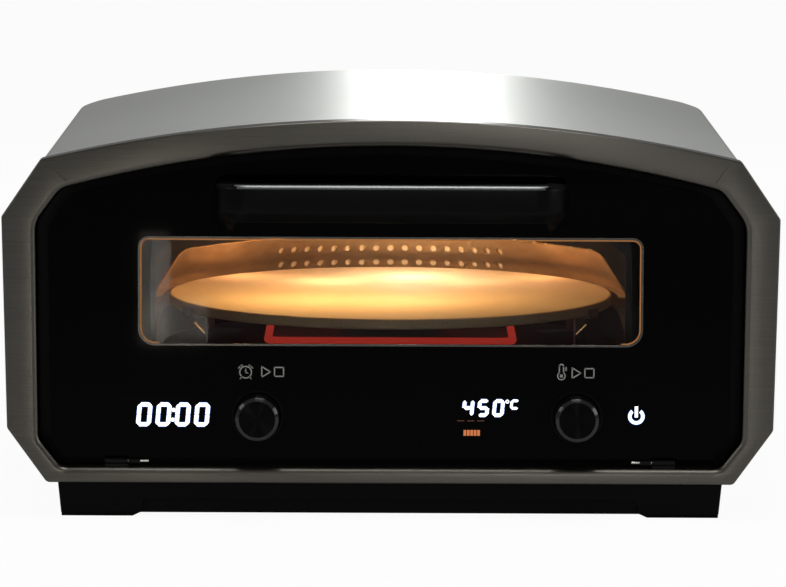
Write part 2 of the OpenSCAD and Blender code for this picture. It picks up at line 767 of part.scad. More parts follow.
// A round tube along a straight run, and one round a bend, both level
module tube_run(x0, y0, x1, y1, r) {
    translate([x0, y0, 0]) rotate([0, 0, atan2(y1 - y0, x1 - x0)]) rotate([0, 90, 0])
        cylinder(r = r, h = norm([x1 - x0, y1 - y0]), $fn = 20);
}
module tube_bend(x, y, bend_r, a0, sweep, r) {
    translate([x, y, 0]) rotate([0, 0, a0]) rotate_extrude(angle = sweep, $fn = 48)
        translate([bend_r, 0]) circle(r = r, $fn = 20);
}
// A level loop of tube: a front bar, two side runs and a back bar whose ends leave at the rear
module tube_loop(half, front, back, leg, bend_r) {
    y0 = front_y + front;
    y1 = front_y + back;
    tube_run(-half + bend_r, y0, half - bend_r, y0, element_r);
    both() {
        tube_bend(half - bend_r, y0 + bend_r, bend_r, -90, 90, element_r);
        tube_run(half, y0 + bend_r, half, y1 - bend_r, element_r);
        tube_bend(half - bend_r, y1 - bend_r, bend_r, 0, 90, element_r);
        tube_run(half - bend_r, y1, leg + bend_r, y1, element_r);
        tube_bend(leg + bend_r, y1 + bend_r, bend_r, 180, 90, element_r);
        tube_run(leg, y1 + bend_r, leg, front_y + element_out, element_r);
    }
}
blanket_t = 14;
// Upright plate behind the chamber that carries the bushes and the probe
plate_gap = 4.1;
plate_depth = stone_depth + hood_foot_r + blanket_t + plate_gap;
plate_t = 1.2;
plate_half = 150;
plate_over = 11;
element_end = 7.5;
element_out = plate_depth + element_end;
low_half = 82;
low_front = stone_depth - 113.4;
low_back = stone_depth + 110;
low_drop = 19.5;
low_z = stone_z - low_drop;
low_bend = 10;
low_leg = 40;
// Lower heating tube, under the stone
module lower_element() {
    color("#c03a24") translate([0, 0, low_z])
        tube_loop(low_half, low_front, low_back, low_leg, low_bend);
}
top_drop = 12;
top_z = front_part_top - top_drop;
top_half = 105;
top_front = hood_front - 145;
top_back = hood_front - 40;
top_bend = 14;
top_leg = 30;
// Upper heating tube, in the front part of the chamber; its legs run back above the hood
module upper_element() {
    color("#8f5a45") translate([0, 0, top_z])
        tube_loop(top_half, top_front, top_back, top_leg, top_bend);
}
bush_r = 6;
bush_l = 12;
module element_bushes() {
    color("#e6e0d2") for (p = [[low_leg, low_z], [top_leg, top_z]]) both() difference() {
        rod(p[0], p[1], bush_r, element_out - bush_l, element_out);
        rod(p[0], p[1], element_r, element_out - bush_l - cut, element_out + cut);
    }
}
module terminal_plate() {
    color("#8b8b88") difference() {
        block([-plate_half, plate_half], [plate_depth, plate_depth + plate_t],
            [floor_z, front_part_top + plate_over]);
        for (p = [[low_leg, low_z], [top_leg, top_z]]) both()
            rod(p[0], p[1], bush_r, plate_depth - cut, plate_depth + plate_t + cut);
        rod(probe_x, probe_z, probe_r, plate_depth - cut, plate_depth + plate_t + cut);
    }
}
clip_w = 6;
clip_clear = 0.05;
clip_depths = [top_front + 30, top_back - 30];
// Clips that hang the upper tube from the roof of the front part
module upper_element_clips() {
    color("silver") for (d = clip_depths) both()
        block([top_half - clip_w / 2, top_half + clip_w / 2], [d - clip_w / 2, d + clip_w / 2],
            [top_z + element_r + clip_clear, front_part_top]);
}
blanket_gap = 0.5;
blanket_lift = 2;
module hood_blanket() {
    color("#e9e4d6") difference() {
        hood_solid(-blanket_t, 0, hood_front + hood_t);
        hood_solid(-blanket_gap, cut, hood_front);
        linear_extrude(pan_rim_z + blanket_lift) square([2 * far, 2 * far], center = true);
        rod(probe_x, probe_z, probe_r + blanket_gap, stone_depth, case_d);
        translate([0, stone_y + lamp_back, knee_z])
            cylinder(r = holder_flange_r + blanket_gap, h = far, $fn = 40);
    }
}
pan_blanket_t = 12;
pan_blanket_in = 4;
module pan_blanket() {
    color("#e9e4d6") translate([0, 0, pan_z - hood_t - pan_blanket_t]) linear_extrude(pan_blanket_t)
        pan_plan(pan_half - pan_blanket_in, pan_front + pan_wall_front + pan_blanket_in);
}
// The lamp hangs through a hole in the hood's roof, behind the stone's centre
lamp_back = 110;
lamp_r = 6;
lamp_gap = 2;
lamp_stem_r = 4.5;
lamp_low = hood_top_z(lamp_back) + 1;
lamp_l = 30;
module oven_lamp() {
    color("#ffe2a8") translate([0, stone_y + lamp_back, lamp_low]) {
        sphere(r = lamp_r, $fn = 32);
        cylinder(r = lamp_stem_r, h = lamp_l, $fn = 32);
    }
}
holder_r = 10.5;
holder_flange_r = 13;
holder_h = 34;
holder_flange_z = 9;
holder_flange_t = 2;
module lamp_holder() {
    color("#d8d2c4") difference() {
        translate([0, stone_y + lamp_back, knee_z]) {
            cylinder(r = holder_r, h = holder_h, $fn = 40);
            translate([0, 0, holder_flange_z]) cylinder(r = holder_flange_r, h = holder_flange_t,
                $fn = 40);
        }
        hood_solid(0, cut, hood_front);
        translate([0, stone_y + lamp_back, knee_z - cut])
            cylinder(r = lamp_r + lamp_gap, h = lamp_low + lamp_r - knee_z + cut, $fn = 32);
        translate([0, stone_y + lamp_back, knee_z])
            cylinder(r = lamp_stem_r, h = lamp_low + lamp_l - knee_z, $fn = 32);
    }
}
probe_x = -66;
probe_rise = 28;
probe_z = ledge_z + probe_rise;
probe_r = 1.6;
probe_in = 8;
probe_head_r = 4;
probe_front = stone_depth + sqrt(pow(hood_half(probe_z), 2) - probe_x * probe_x) - probe_in;
module temperature_probe() {
    color("silver") {
        rod(probe_x, probe_z, probe_r, probe_front, element_out);
        rod(probe_x, probe_z, probe_head_r, plate_depth + plate_t, element_out);
    }
}

// ---- power parts under the pan ----
board_rise = 14;
board_z = base_h + board_rise;
board_t = 1.6;
board_x = [-90, 60];
board_from = stone_depth + 59.6;
board_l = 100;
relay_n = 3;
relay_w = 20;
relay_l = 22;
relay_h = 16.4;
relay_pitch = 26;
relay_in = 10;
choke_w = 34;
choke_l = 30;
choke_h = 22.4;
// Power board with its relays and choke
module power_board() {
    top = board_z + board_t;
    color("#2f6b3c") block(board_x, [board_from, board_from + board_l], [board_z, top]);
    color("#222222") for (i = [0:relay_n - 1])
        let(x = board_x[0] + relay_in + i * relay_pitch)
        block([x, x + relay_w], [board_from + 2 * relay_in, board_from + 2 * relay_in + relay_l],
            [top, top + relay_h]);
    color("#c9a23a") block([board_x[1] - relay_in - choke_w, board_x[1] - relay_in],
        [board_from + board_l - relay_in - choke_l, board_from + board_l - relay_in],
        [top, top + choke_h]);
}
post_in = 6;
post_r = 3;
module board_posts() {
    color("#dddddd") for (x = [board_x[0] + post_in, board_x[1] - post_in],
            d = [board_from + post_in, board_from + board_l - post_in])
        translate([x, front_y + d, floor_z])
            cylinder(r = post_r, h = board_z - floor_z, $fn = 24);
}
block_w = 42;
block_d = 22;
block_h = 16;
block_gap = 36;
block_hole_pitch = 14;
module terminal_block() {
    x = board_x[1] + block_gap;
    d = board_from + board_l - relay_in;
    color("#e8e2cf") difference() {
        block([x, x + block_w], [d, d + block_d], [floor_z, floor_z + block_h]);
        for (i = [-1:1]) translate([x + block_w / 2 + i * block_hole_pitch, front_y + d
                + block_d / 2, floor_z + block_h / 2])
            cylinder(r = post_r, h = block_h, $fn = 24);
    }
}
gland_lip = 3;
gland_bore_r = 4;
gland_nut_l = 6;
module cord_gland() {
    color("#1a1a1a") difference() {
        union() {
            rod(gland_x, gland_z, gland_r, rear_face - panel_t, rear_face);
            rod(gland_x, gland_z, gland_r + gland_lip, rear_face, rear_face + gland_lip);
            rod(gland_x, gland_z, gland_r + gland_lip, rear_face - panel_t - gland_nut_l,
                rear_face - panel_t);
        }
        rod(gland_x, gland_z, gland_bore_r, rear_face - 2 * gland_nut_l, case_d + cut);
    }
}

// ---- hinges ----
hinge_d = glass_back + glass_t;
hinge_z = mouth_z + hinge_rise;
fixed_in = hinge_x - knuckle_l / 2;
fixed_out = hinge_x + knuckle_l / 2;
knuckle_gap = 0.3;
leaf_out = fixed_in - knuckle_gap;
leaf_in = leaf_out - leaf_l;
arm_front = 1.5;
// Fixed knuckles on arms that stand on the frame's lower lip
module hinge_brackets() {
    color(black_matt) both() difference() {
        union() {
            pin(fixed_in, fixed_out, hinge_d, hinge_z, knuckle_r);
            block([fixed_in, fixed_out], [hinge_d - arm_front, frame_lip_d - cut],
                [mouth_z, hinge_z]);
        }
        pin(fixed_in - cut, fixed_out + cut, hinge_d, hinge_z, pin_r);
    }
}
module hinge_pins() {
    color("silver") both() pin(leaf_in - pin_end, fixed_out, hinge_d, hinge_z, pin_r);
}
leaf_rise = 14;
leaf_top = hinge_z + leaf_rise;
leaf_t = 2.5;
leaf_clear = 0.2;
// Door knuckles, each on a flat leaf behind the glass
module door_hinge_leaves() {
    color(black_matt) both() difference() {
        union() {
            difference() {
                pin(leaf_in, leaf_out, hinge_d, hinge_z, knuckle_r);
                block([leaf_in - cut, leaf_out + cut], [0, hinge_d + leaf_clear],
                    [door_o[1] - knuckle_gap, far]);
            }
            block([leaf_in, leaf_out], [hinge_d + leaf_clear, hinge_d + leaf_clear + leaf_t],
                [hinge_z, leaf_top]);
        }
        pin(leaf_in - cut, leaf_out + cut, hinge_d, hinge_z, pin_r + pin_clear);
    }
}

// ---- door ----
door_o = inset(mouth_o, gap_low, gap_side, gap_side, gap_side, gap_top);
chassis_to = chassis_from + chassis_d;
chassis_o = shrink(door_o, chassis_inset);
window_r_top = 7;
window_r_low = 11;
notch_clear = 0.8;
notch_h = hinge_z + knuckle_r + notch_clear - door_o[1];
module window_2d(grow_by) {
    w = window_w + 2 * grow_by;
    h = window_h + 2 * grow_by;
    translate([0, window_z - grow_by]) polygon(rounded(
        [[-w / 2, 0], [w / 2, 0], [w / 2, h], [-w / 2, h]],
        [window_r_low + grow_by, window_r_low + grow_by,
         window_r_top + grow_by, window_r_top + grow_by], fine_steps));
}
// Front glass with the window and holes for the shafts and the handle's screws
module door_glass() {
    color(black_gloss) difference() {
        slab(glass_back, glass_back + glass_t) difference() {
            polygon(outline(door_o, door_radii));
            window_2d(0);
        }
        both() block([fixed_in - notch_clear, fixed_out + notch_clear],
            [0, chassis_from + cut], [0, door_o[1] + notch_h]);
        for (x = [timer_x, heat_x])
            rod(x, knob_z, shaft_r + shaft_clear, 0, chassis_from + cut);
        both() rod(handle_screw_x, handle_screw_z, screw_r + screw_clear, 0, chassis_from + cut);
    }
}
trim_back = 0.4;
pane_back = 0.6;
module window_trim() {
    color("silver") slab(glass_back + trim_back, glass_back + glass_t) difference() {
        window_2d(0);
        window_2d(-trim_w);
    }
}
module outer_window_pane() {
    color("#c8d2d6", 0.3) slab(glass_back + pane_back, glass_back + pane_back + pane_t)
        window_2d(-trim_w);
}
tunnel_in = 2;
chassis_boss = 6;
screw_pocket_r = 4.2;
board_cut_x = [-168, 172];
board_cut_half = 19;
// Moulded chassis between the glass and the inner panel, open behind the window
module door_chassis() {
    color(black_matt) difference() {
        slab(chassis_from, chassis_to) difference() {
            polygon(outline(chassis_o, radii_by(door_radii, -chassis_inset)));
            translate([0, -inner_window_drop]) window_2d(tunnel_in);
            window_2d(tunnel_in);
        }
        for (x = [timer_x, heat_x])
            rod(x, knob_z, encoder_w / 2 + encoder_clear, 0, far);
        block(board_cut_x, [board_depth - cut, chassis_to + cut],
            [disp_z - board_cut_half, disp_z + board_cut_half]);
        for (x = [timer_disp_x, heat_disp_x])
            block([x - disp_w / 2, x + disp_w / 2], [chassis_from - cut, board_depth],
                [disp_z - disp_h / 2, disp_z + disp_h / 2]);
        rod(touch_x, knob_z, touch_r + leaf_clear, 0, far);
        rod(pilot_x, pilot_z, pilot_r + leaf_clear, 0, far);
        both() block([leaf_in - leaf_clear, leaf_out + leaf_clear],
            [0, hinge_d + leaf_clear + leaf_t], [0, leaf_top + leaf_clear]);
        both() rod(handle_screw_x, handle_screw_z, screw_pocket_r, chassis_from + chassis_boss, far);
        both() rod(handle_screw_x, handle_screw_z, screw_r + screw_clear, 0, far);
        slab(chassis_to - pane_seat, chassis_to + cut) inner_window_2d(pane_lap + leaf_clear);
    }
}
pane_seat = pane_t + leaf_clear;
pane_lap = 7.5;
inner_window_r = 8;
inner_edge = 1.5;
module inner_window_2d(grow_by) {
    translate([0, inner_window_z - grow_by])
        round_rect(inner_window_w + 2 * grow_by, inner_window_h + 2 * grow_by,
            inner_window_r + grow_by);
}
module inner_door_panel() {
    color("#77756f") slab(chassis_to, chassis_to + inner_t) difference() {
        polygon(outline(shrink(chassis_o, inner_edge),
            radii_by(door_radii, -chassis_inset - inner_edge)));
        inner_window_2d(0);
    }
}
module inner_window_pane() {
    color("#c8d2d6", 0.3) slab(chassis_to - pane_t, chassis_to) inner_window_2d(pane_lap);
}

// ---- handle ----
bar_back = -handle_reach + handle_t;
handle_drop = 9;
handle_slope = 14;
handle_edge = 1.8;
handle_chamfer = 7.5;
handle_sole = 4;
handle_root = 6;
handle_screw_in = 1;
handle_screw_drop = 9;
handle_bore = 10;
handle_screw_x = handle_w / 2 - leg_w / 2 - handle_screw_in;
handle_screw_z = handle_z - handle_h / 2 - handle_screw_drop;
// A chamfered bar on two legs that slope down to the glass, rounded at its ends as seen from above
module handle() {
    low = handle_z - handle_h;
    color(black_matt) difference() {
        intersection() {
            union() {
                bar(-handle_w / 2, handle_w / 2) polygon([
                    [-handle_reach, low + handle_chamfer], [-handle_reach, handle_z - handle_edge],
                    [-handle_reach + handle_edge, handle_z], [bar_back - handle_edge, handle_z],
                    [bar_back, handle_z - handle_edge], [bar_back, low],
                    [bar_back - handle_sole, low]]);
                both() bar(handle_w / 2 - leg_w, handle_w / 2) polygon([
                    [bar_back - handle_edge, handle_z - handle_edge], [bar_back - handle_edge, low],
                    [bar_back + handle_sole, low], [glass_back, low - handle_drop],
                    [glass_back, handle_z - handle_slope], [bar_back + handle_root, handle_z
                        - handle_edge]]);
            }
            linear_extrude(far) polygon(rounded(
                [[-handle_w / 2, front_y - handle_reach], [handle_w / 2, front_y - handle_reach],
                 [handle_w / 2, front_y + glass_back], [-handle_w / 2, front_y + glass_back]],
                [handle_r, handle_r, 0, 0], fine_steps));
        }
        both() rod(handle_screw_x, handle_screw_z, screw_r, glass_back - handle_bore, far);
    }
}
module handle_screws() {
    head = chassis_from + chassis_boss;
    color("silver") both() {
        rod(handle_screw_x, handle_screw_z, screw_r, glass_back - handle_bore + cut, head);
        rod(handle_screw_x, handle_screw_z, screw_head_r, head, head + screw_head_h);
    }
}

// ---- controls ----
board_depth = 17;
shaft_clear = 0.5;
encoder_w = 13;
encoder_body = 9;
encoder_clear = 1.5;
encoder_from = 10;
disp_rise = 0.7;
disp_z = knob_z + disp_rise;
disp_h = 26;
disp_clear = 0.3;
timer_disp_x = timer_x - 54.1;
heat_disp_x = heat_x - 56;
touch_x = heat_x + 38.5;
touch_r = 8;
pilot_x = heat_x - 67.3;
pilot_z = knob_z - 10.6;
pilot_r = 2;
module display(x) {
    color("#101014") block([x - disp_w / 2 + disp_clear, x + disp_w / 2 - disp_clear],
        [chassis_from, board_depth],
        [disp_z - disp_h / 2 + disp_clear, disp_z + disp_h / 2 - disp_clear]);
}
module timer_display() {
    display(timer_disp_x);
}
module heat_display() {
    difference() {
        display(heat_disp_x);
        rod(pilot_x, pilot_z, pilot_r + leaf_clear, 0, far);
    }
}
control_board_half = 18;
module control_board() {
    color("#2f6b3c") block([board_cut_x[0] + cut, board_cut_x[1] - cut],
        [board_depth, board_depth + board_t],
        [disp_z - control_board_half, disp_z + control_board_half]);
}
module touch_pad() {
    color("#c9a23a") rod(touch_x, knob_z, touch_r, chassis_from, board_depth);
}
module pilot_light() {
    color("#ff6a1c") rod(pilot_x, pilot_z, pilot_r, chassis_from, board_depth);
}
ring_lip = 1.6;
ring_base = 0.6;
ring_edge = 0.6;
knob_gap = 0.5;
// Turned ring round a knob: a thin base with a raised lip
module knob_ring(x) {
    color("#2a2a2c") translate([x, front_y + glass_back, knob_z]) rotate([90, 0, 0])
        rotate_extrude($fn = 72) polygon([[shaft_r + shaft_clear, 0], [ring_d / 2, 0],
            [ring_d / 2 - ring_edge, ring_lip], [knob_d / 2 + 2 * ring_edge, ring_lip],
            [knob_d / 2 + ring_edge, ring_base], [shaft_r + shaft_clear, ring_base]]);
}
module timer_ring() {
    knob_ring(timer_x);
}
module heat_ring() {
    knob_ring(heat_x);
}
knob_base = ring_base + push_travel + knob_gap;
knob_hub_r = 6;
knob_wall = 2;
knob_cap = 4;
knob_cap_t = 2.5;
knob_bevel = 1.2;
knob_draft = 0.3;
// Turned knob, hollow at the back, with a bevelled rim and a bore for the shaft
module knob(x) {
    r = knob_d / 2;
    color(black_matt) translate([x, front_y + glass_back, knob_z]) rotate([90, 0, 0])
        rotate_extrude($fn = 72) polygon([[shaft_r, knob_base], [knob_hub_r, knob_base],
            [knob_hub_r, knob_l - knob_cap], [r - knob_wall, knob_l - knob_cap],
            [r - knob_wall, knob_base], [r, knob_base], [r - knob_draft, knob_l - knob_bevel],
            [r - knob_draft - knob_bevel, knob_l], [0, knob_l], [0, knob_l - knob_cap_t],
            [shaft_r, knob_l - knob_cap_t]]);
}
module timer_knob() {
    knob(timer_x);
}
module heat_knob() {
    knob(heat_x);
}
shaft_in = 2;
shaft_back = encoder_from + shaft_in;
module shaft(x) {
    color("silver") rod(x, knob_z, shaft_r, glass_back - knob_l + knob_cap_t, shaft_back);
}
module timer_shaft() {
    shaft(timer_x);
}
module heat_shaft() {
    shaft(heat_x);
}
encoder_floor = 0.6;
bore_clear = 0.1;
module encoder(x) {
    color("#8a8a8a") difference() {
        block([x - encoder_body / 2, x + encoder_body / 2], [encoder_from, board_depth],
            [knob_z - encoder_body / 2, knob_z + encoder_body / 2]);
        rod(x, knob_z, shaft_r + bore_clear, encoder_from - cut, board_depth - encoder_floor);
    }
}
module timer_encoder() {
    encoder(timer_x);
}
module heat_encoder() {
    encoder(heat_x);
}
plunger_draw = 0.4;
plunger_end = board_depth - encoder_floor - bore_clear - push_travel;
// Switch plunger that the shaft turns on and pushes
module plunger(x) {
    color("#b08d57") rod(x, knob_z, shaft_r - plunger_draw, shaft_back, plunger_end);
}
module timer_plunger() {
    plunger(timer_x);
}
module heat_plunger() {
    plunger(heat_x);
}

front_frame();
roof_panel();
left_side_panel();
right_side_panel();
rear_panel();
bottom_plate();
base_plinth();
rubber_feet();
case_screws();
bulkhead();
mouth_liner();
hood_seat();
oven_hood();
hood_crown();
stone_pan();
stone_rests();
pizza_stone();
lower_element();
upper_element();
element_bushes();
terminal_plate();
upper_element_clips();
hood_blanket();
pan_blanket();
temperature_probe();
oven_lamp();
lamp_holder();
power_board();
board_posts();
terminal_block();
cord_gland();
door_seal();
hinge_brackets();
hinge_pins();
door_glass();
window_trim();
outer_window_pane();
inner_window_pane();
door_chassis();
inner_door_panel();
door_hinge_leaves();
handle();
handle_screws();
timer_display();
heat_display();
control_board();
touch_pad();
pilot_light();
timer_ring();
heat_ring();
timer_encoder();
heat_encoder();
timer_plunger();
heat_plunger();
timer_shaft();
heat_shaft();
timer_knob();
heat_knob();
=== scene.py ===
"""An electric pizza maker with an arched steel roof and a glass drop-down door.

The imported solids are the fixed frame. Shapes made here are worked out in millimetres, in the
same frame (X right, Y back, Z up, origin on the table), and go into their meshes in metres.
"""
import json
import math

import bmesh
import bpy
import numpy as np
from mathutils import Matrix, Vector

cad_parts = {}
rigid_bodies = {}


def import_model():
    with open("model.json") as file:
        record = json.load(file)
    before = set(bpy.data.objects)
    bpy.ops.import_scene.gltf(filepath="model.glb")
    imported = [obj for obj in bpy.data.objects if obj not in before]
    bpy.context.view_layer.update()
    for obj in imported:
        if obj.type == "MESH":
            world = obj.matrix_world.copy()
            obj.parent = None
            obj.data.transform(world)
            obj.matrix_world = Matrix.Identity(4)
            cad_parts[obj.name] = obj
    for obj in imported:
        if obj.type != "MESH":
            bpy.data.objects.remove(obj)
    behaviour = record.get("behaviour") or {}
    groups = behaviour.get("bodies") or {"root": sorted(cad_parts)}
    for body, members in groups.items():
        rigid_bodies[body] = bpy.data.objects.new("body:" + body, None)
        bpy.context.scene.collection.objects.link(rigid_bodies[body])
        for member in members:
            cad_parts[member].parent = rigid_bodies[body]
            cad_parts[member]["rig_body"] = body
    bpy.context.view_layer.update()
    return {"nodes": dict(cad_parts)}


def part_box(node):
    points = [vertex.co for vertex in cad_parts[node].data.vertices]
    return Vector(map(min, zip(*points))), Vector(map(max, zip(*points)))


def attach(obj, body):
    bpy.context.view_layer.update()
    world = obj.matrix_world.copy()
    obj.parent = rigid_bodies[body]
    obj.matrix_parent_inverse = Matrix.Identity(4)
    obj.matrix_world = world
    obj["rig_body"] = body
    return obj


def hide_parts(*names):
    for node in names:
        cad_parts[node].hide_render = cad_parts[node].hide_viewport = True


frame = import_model()
scene = bpy.context.scene
MM = 0.001


def span(node):
    """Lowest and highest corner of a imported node, in millimetres."""
    low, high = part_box(node)
    return np.array(low) / MM, np.array(high) / MM


# ---- sizes, in millimetres ----
FRAME_LOW, FRAME_HIGH = span("front_frame")
FRONT = FRAME_LOW[1]  # the frame's face
BASE_Z = FRAME_LOW[2]  # lower edge of the steel case
HALF_W = FRAME_HIGH[0]
CROWN_Z = FRAME_HIGH[2]
GLASS_FACE = span("door_glass")[0][1]
KNOB_LOW, KNOB_HIGH = span("timer_knob")
HEAT_LOW, HEAT_HIGH = span("heat_knob")
TIMER_X = (KNOB_LOW[0] + KNOB_HIGH[0]) / 2
HEAT_X = (HEAT_LOW[0] + HEAT_HIGH[0]) / 2
KNOB_Z = (KNOB_LOW[2] + KNOB_HIGH[2]) / 2
KNOB_R = (KNOB_HIGH[2] - KNOB_LOW[2]) / 2
KNOB_BEVEL = 2.3  # width of the polished ring round a knob's face
STONE_LOW, STONE_HIGH = span("pizza_stone")
STONE_R = STONE_HIGH[0]
STONE_Y = (STONE_LOW[1] + STONE_HIGH[1]) / 2
STONE_TOP = STONE_HIGH[2]
HANDLE_LOW, HANDLE_HIGH = span("handle")

# Half-widths and heights of the frame's corners: low, lower corner, side, top; then the crown
FRAME_OUTLINE = (221.5, BASE_Z, 247.0, BASE_Z + 35.3, HALF_W, BASE_Z + 172.3,
                 225.0, BASE_Z + 209.0, CROWN_Z)
MOUTH_OUTLINE = (212.0, BASE_Z + 10.0, 226.0, BASE_Z + 28.0, 227.5, BASE_Z + 168.5,
                 211.5, BASE_Z + 190.0, CROWN_Z - 17.2)
FRAME_RADII = (4.0, 4.0, 4.0, 4.0)
MOUTH_RADII = (8.0, 11.0, 18.0, 14.0)
ROUND_OUT, ROUND_IN = 1.2, 4.5  # bend radii of the frame's outer and inner edges
FRAME_T = 1.5  # its sheet
FLANGE_D = FRAME_HIGH[1] - FRONT  # depth of its outer flange and of its inner lip
LIP_D = 13.0


# ---- outlines of the case front ----
def unit(v):
    """The vector divided by its length."""
    return v / np.linalg.norm(v)


def cross(a, b):
    """Cross product of two vectors in a plane."""
    return a[0] * b[1] - a[1] * b[0]


def meet(p, d, q, e):
    """Where the line through p along d crosses the line through q along e: p plus d times the
    cross product of (q - p) and e over that of d and e."""
    return p + d * cross(q - p, e) / cross(d, e)


def arc_radius(half_width, rise):
    """Radius of the arc over a chord: (half the chord squared + rise squared) / 2 / rise."""
    return (half_width ** 2 + rise ** 2) / 2 / rise


def inset(outline, gap):
    """The outline with every edge moved inwards by the gap, its arch kept concentric. Each edge
    moves along its normal, corners are where moved edges meet, and the last one is where the
    moved upper edge meets the smaller arch's circle."""
    o = np.array(outline, float)
    corner = [o[0:2], o[2:4], o[4:6], o[6:8]]
    along = [np.array([1.0, 0.0])] + [unit(corner[i + 1] - corner[i]) for i in range(3)]
    moved = [corner[i] + np.array([-along[i][1], along[i][0]]) * gap for i in range(4)]
    meets = [meet(moved[i], along[i], moved[i + 1], along[i + 1]) for i in range(3)]
    radius = arc_radius(o[6], o[8] - o[7])
    centre = o[8] - radius
    away = moved[3] - np.array([0.0, centre])
    k = away @ along[3]
    end = moved[3] + along[3] * (-k + math.sqrt(k * k - away @ away + (radius - gap) ** 2))
    return (*meets[0], *meets[1], *meets[2], *end, centre + radius - gap)


def outline_points(outline, radii, steps=8, arch_steps=72):
    """Points round an outline, from the middle of its lower edge: straight edges, an arc of the
    given radius at each corner (low, lower corner, side, top) and one arc for the roof."""
    o = np.array(outline, float)
    radius = arc_radius(o[6], o[8] - o[7])
    half = [np.array([0.0, o[1]]), o[0:2], o[2:4], o[4:6], o[6:8]]
    t = np.linspace(1, 0, arch_steps // 2 + 1)[1:]
    arch = np.stack([o[6] * t, o[8] - radius + np.sqrt(radius ** 2 - (o[6] * t) ** 2)], -1)
    half.append(arch[0])
    right = [half[0][None]]
    for i, r in enumerate(radii, start=1):
        a, p, b = half[i - 1], half[i], half[i + 1]
        u, v = unit(a - p), unit(b - p)
        half_angle = math.acos(float(np.clip(u @ v, -1, 1))) / 2
        centre = p + unit(u + v) * r / math.sin(half_angle)
        start = p + u * r / math.tan(half_angle) - centre
        turn = np.linspace(0, math.pi - 2 * half_angle, steps + 1)[:, None]
        side = np.array([-start[1], start[0]])
        right.append(centre + start * np.cos(turn) + side * np.sin(turn))
    right.append(arch)
    right = np.concatenate(right)
    left = right[1:-1][::-1] * [-1, 1]
    return np.concatenate([right, left])


# ---- mesh making ----
def grid_faces(rows, cols, wrap_rows=False, wrap_cols=True):
    """Four-sided faces of a grid of points, numbered row by row."""
    i = np.arange(rows if wrap_rows else rows - 1)[:, None]
    j = np.arange(cols if wrap_cols else cols - 1)[None, :]
    up, along = (i + 1) % rows, (j + 1) % cols
    return np.stack([i * cols + j, i * cols + along, up * cols + along, up * cols + j],
                    -1).reshape(-1, 4)


def signed_volume(points, faces):
    """Volume inside four-sided faces, negative where they point inwards."""
    a, b, c, d = (points[faces[:, k]] for k in range(4))
    return float(np.einsum("ij,ij->", a, np.cross(b, c) + np.cross(c, d))) / 6


def finish_mesh(mesh, smooth_angle):
    """Smooth shading, with an edge wherever two faces meet at more than the angle."""
    mesh.polygons.foreach_set("use_smooth", np.ones(len(mesh.polygons), bool))
    mesh.set_sharp_from_angle(angle=math.radians(smooth_angle))
    mesh.update()


def place(name, mesh, body, material):
    """Puts a mesh into the scene as a piece that rides on a body."""
    piece = bpy.data.objects.new(name, mesh)
    scene.collection.objects.link(piece)
    mesh.materials.clear()
    mesh.materials.append(material)
    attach(piece, body)
    return piece


def surface(name, points, faces, body, material, smooth_angle=35, merge=True):
    """A closed piece from points in millimetres and four-sided faces, turned outwards."""
    points = np.asarray(points, float).reshape(-1, 3)
    faces = np.asarray(faces)
    if signed_volume(points - points.mean(0), faces) < 0:
        faces = faces[:, ::-1]
    mesh = bpy.data.meshes.new(name)
    mesh.from_pydata((points * MM).tolist(), [], faces.tolist())
    if merge:
        weld(mesh)
    finish_mesh(mesh, smooth_angle)
    return place(name, mesh, body, material)


def weld(mesh, distance=0.002):
    """Merges points that coincide and drops the faces that this leaves without area."""
    b = bmesh.new()
    b.from_mesh(mesh)
    bmesh.ops.remove_doubles(b, verts=b.verts, dist=distance * MM)
    bmesh.ops.dissolve_degenerate(b, edges=b.edges, dist=distance * MM)
    b.to_mesh(mesh)
    b.free()


def lathe(profile, centre, axis, steps=128):
    """Points of a profile of (radius, height) pairs turned round an axis, Y or Z, as a grid of
    angle by profile point: radius times cosine and sine of the angle, and the height along the
    axis (towards the front for Y)."""
    r, h = np.array(profile, float).T
    a = np.linspace(0, 2 * math.pi, steps, endpoint=False)[:, None]
    x, y = r * np.cos(a), r * np.sin(a)
    h = np.broadcast_to(h, x.shape)
    ring = np.stack([x, y, h] if axis == "Z" else [x, -h, y], -1)
    return ring + np.array(centre, float)


def turned(name, profile, centre, axis, body, material, steps=128, smooth_angle=35):
    """A turned solid: a closed profile, or one that starts and ends on the axis."""
    points = lathe(profile, centre, axis, steps)
    closed = profile[0][0] > 0
    faces = grid_faces(steps, len(profile), wrap_rows=True, wrap_cols=closed)
    return surface(name, points, faces, body, material, smooth_angle)


def fillet(points, radii, steps=6, closed=True):
    """A polygon's points with an arc of its own radius at each corner. An arc's centre lies on
    the corner's bisector, at the radius over the sine of half the corner's angle."""
    points = [np.array(p, float) for p in points]
    out = []
    for i, (p, r) in enumerate(zip(points, radii)):
        a, b = points[i - 1], points[(i + 1) % len(points)]
        if r <= 0 or (not closed and i in (0, len(points) - 1)):
            out.append(p[None])
            continue
        u, v = unit(a - p), unit(b - p)
        half = math.acos(float(np.clip(u @ v, -1, 1))) / 2
        centre = p + unit(u + v) * r / math.sin(half)
        s, e = p + u * r / math.tan(half) - centre, p + v * r / math.tan(half) - centre
        turn = math.pi - 2 * half
        w = np.linspace(0, 1, steps + 1)[:, None]
        out.append(centre + (s * np.sin((1 - w) * turn) + e * np.sin(w * turn)) / math.sin(turn))
    return np.concatenate(out)


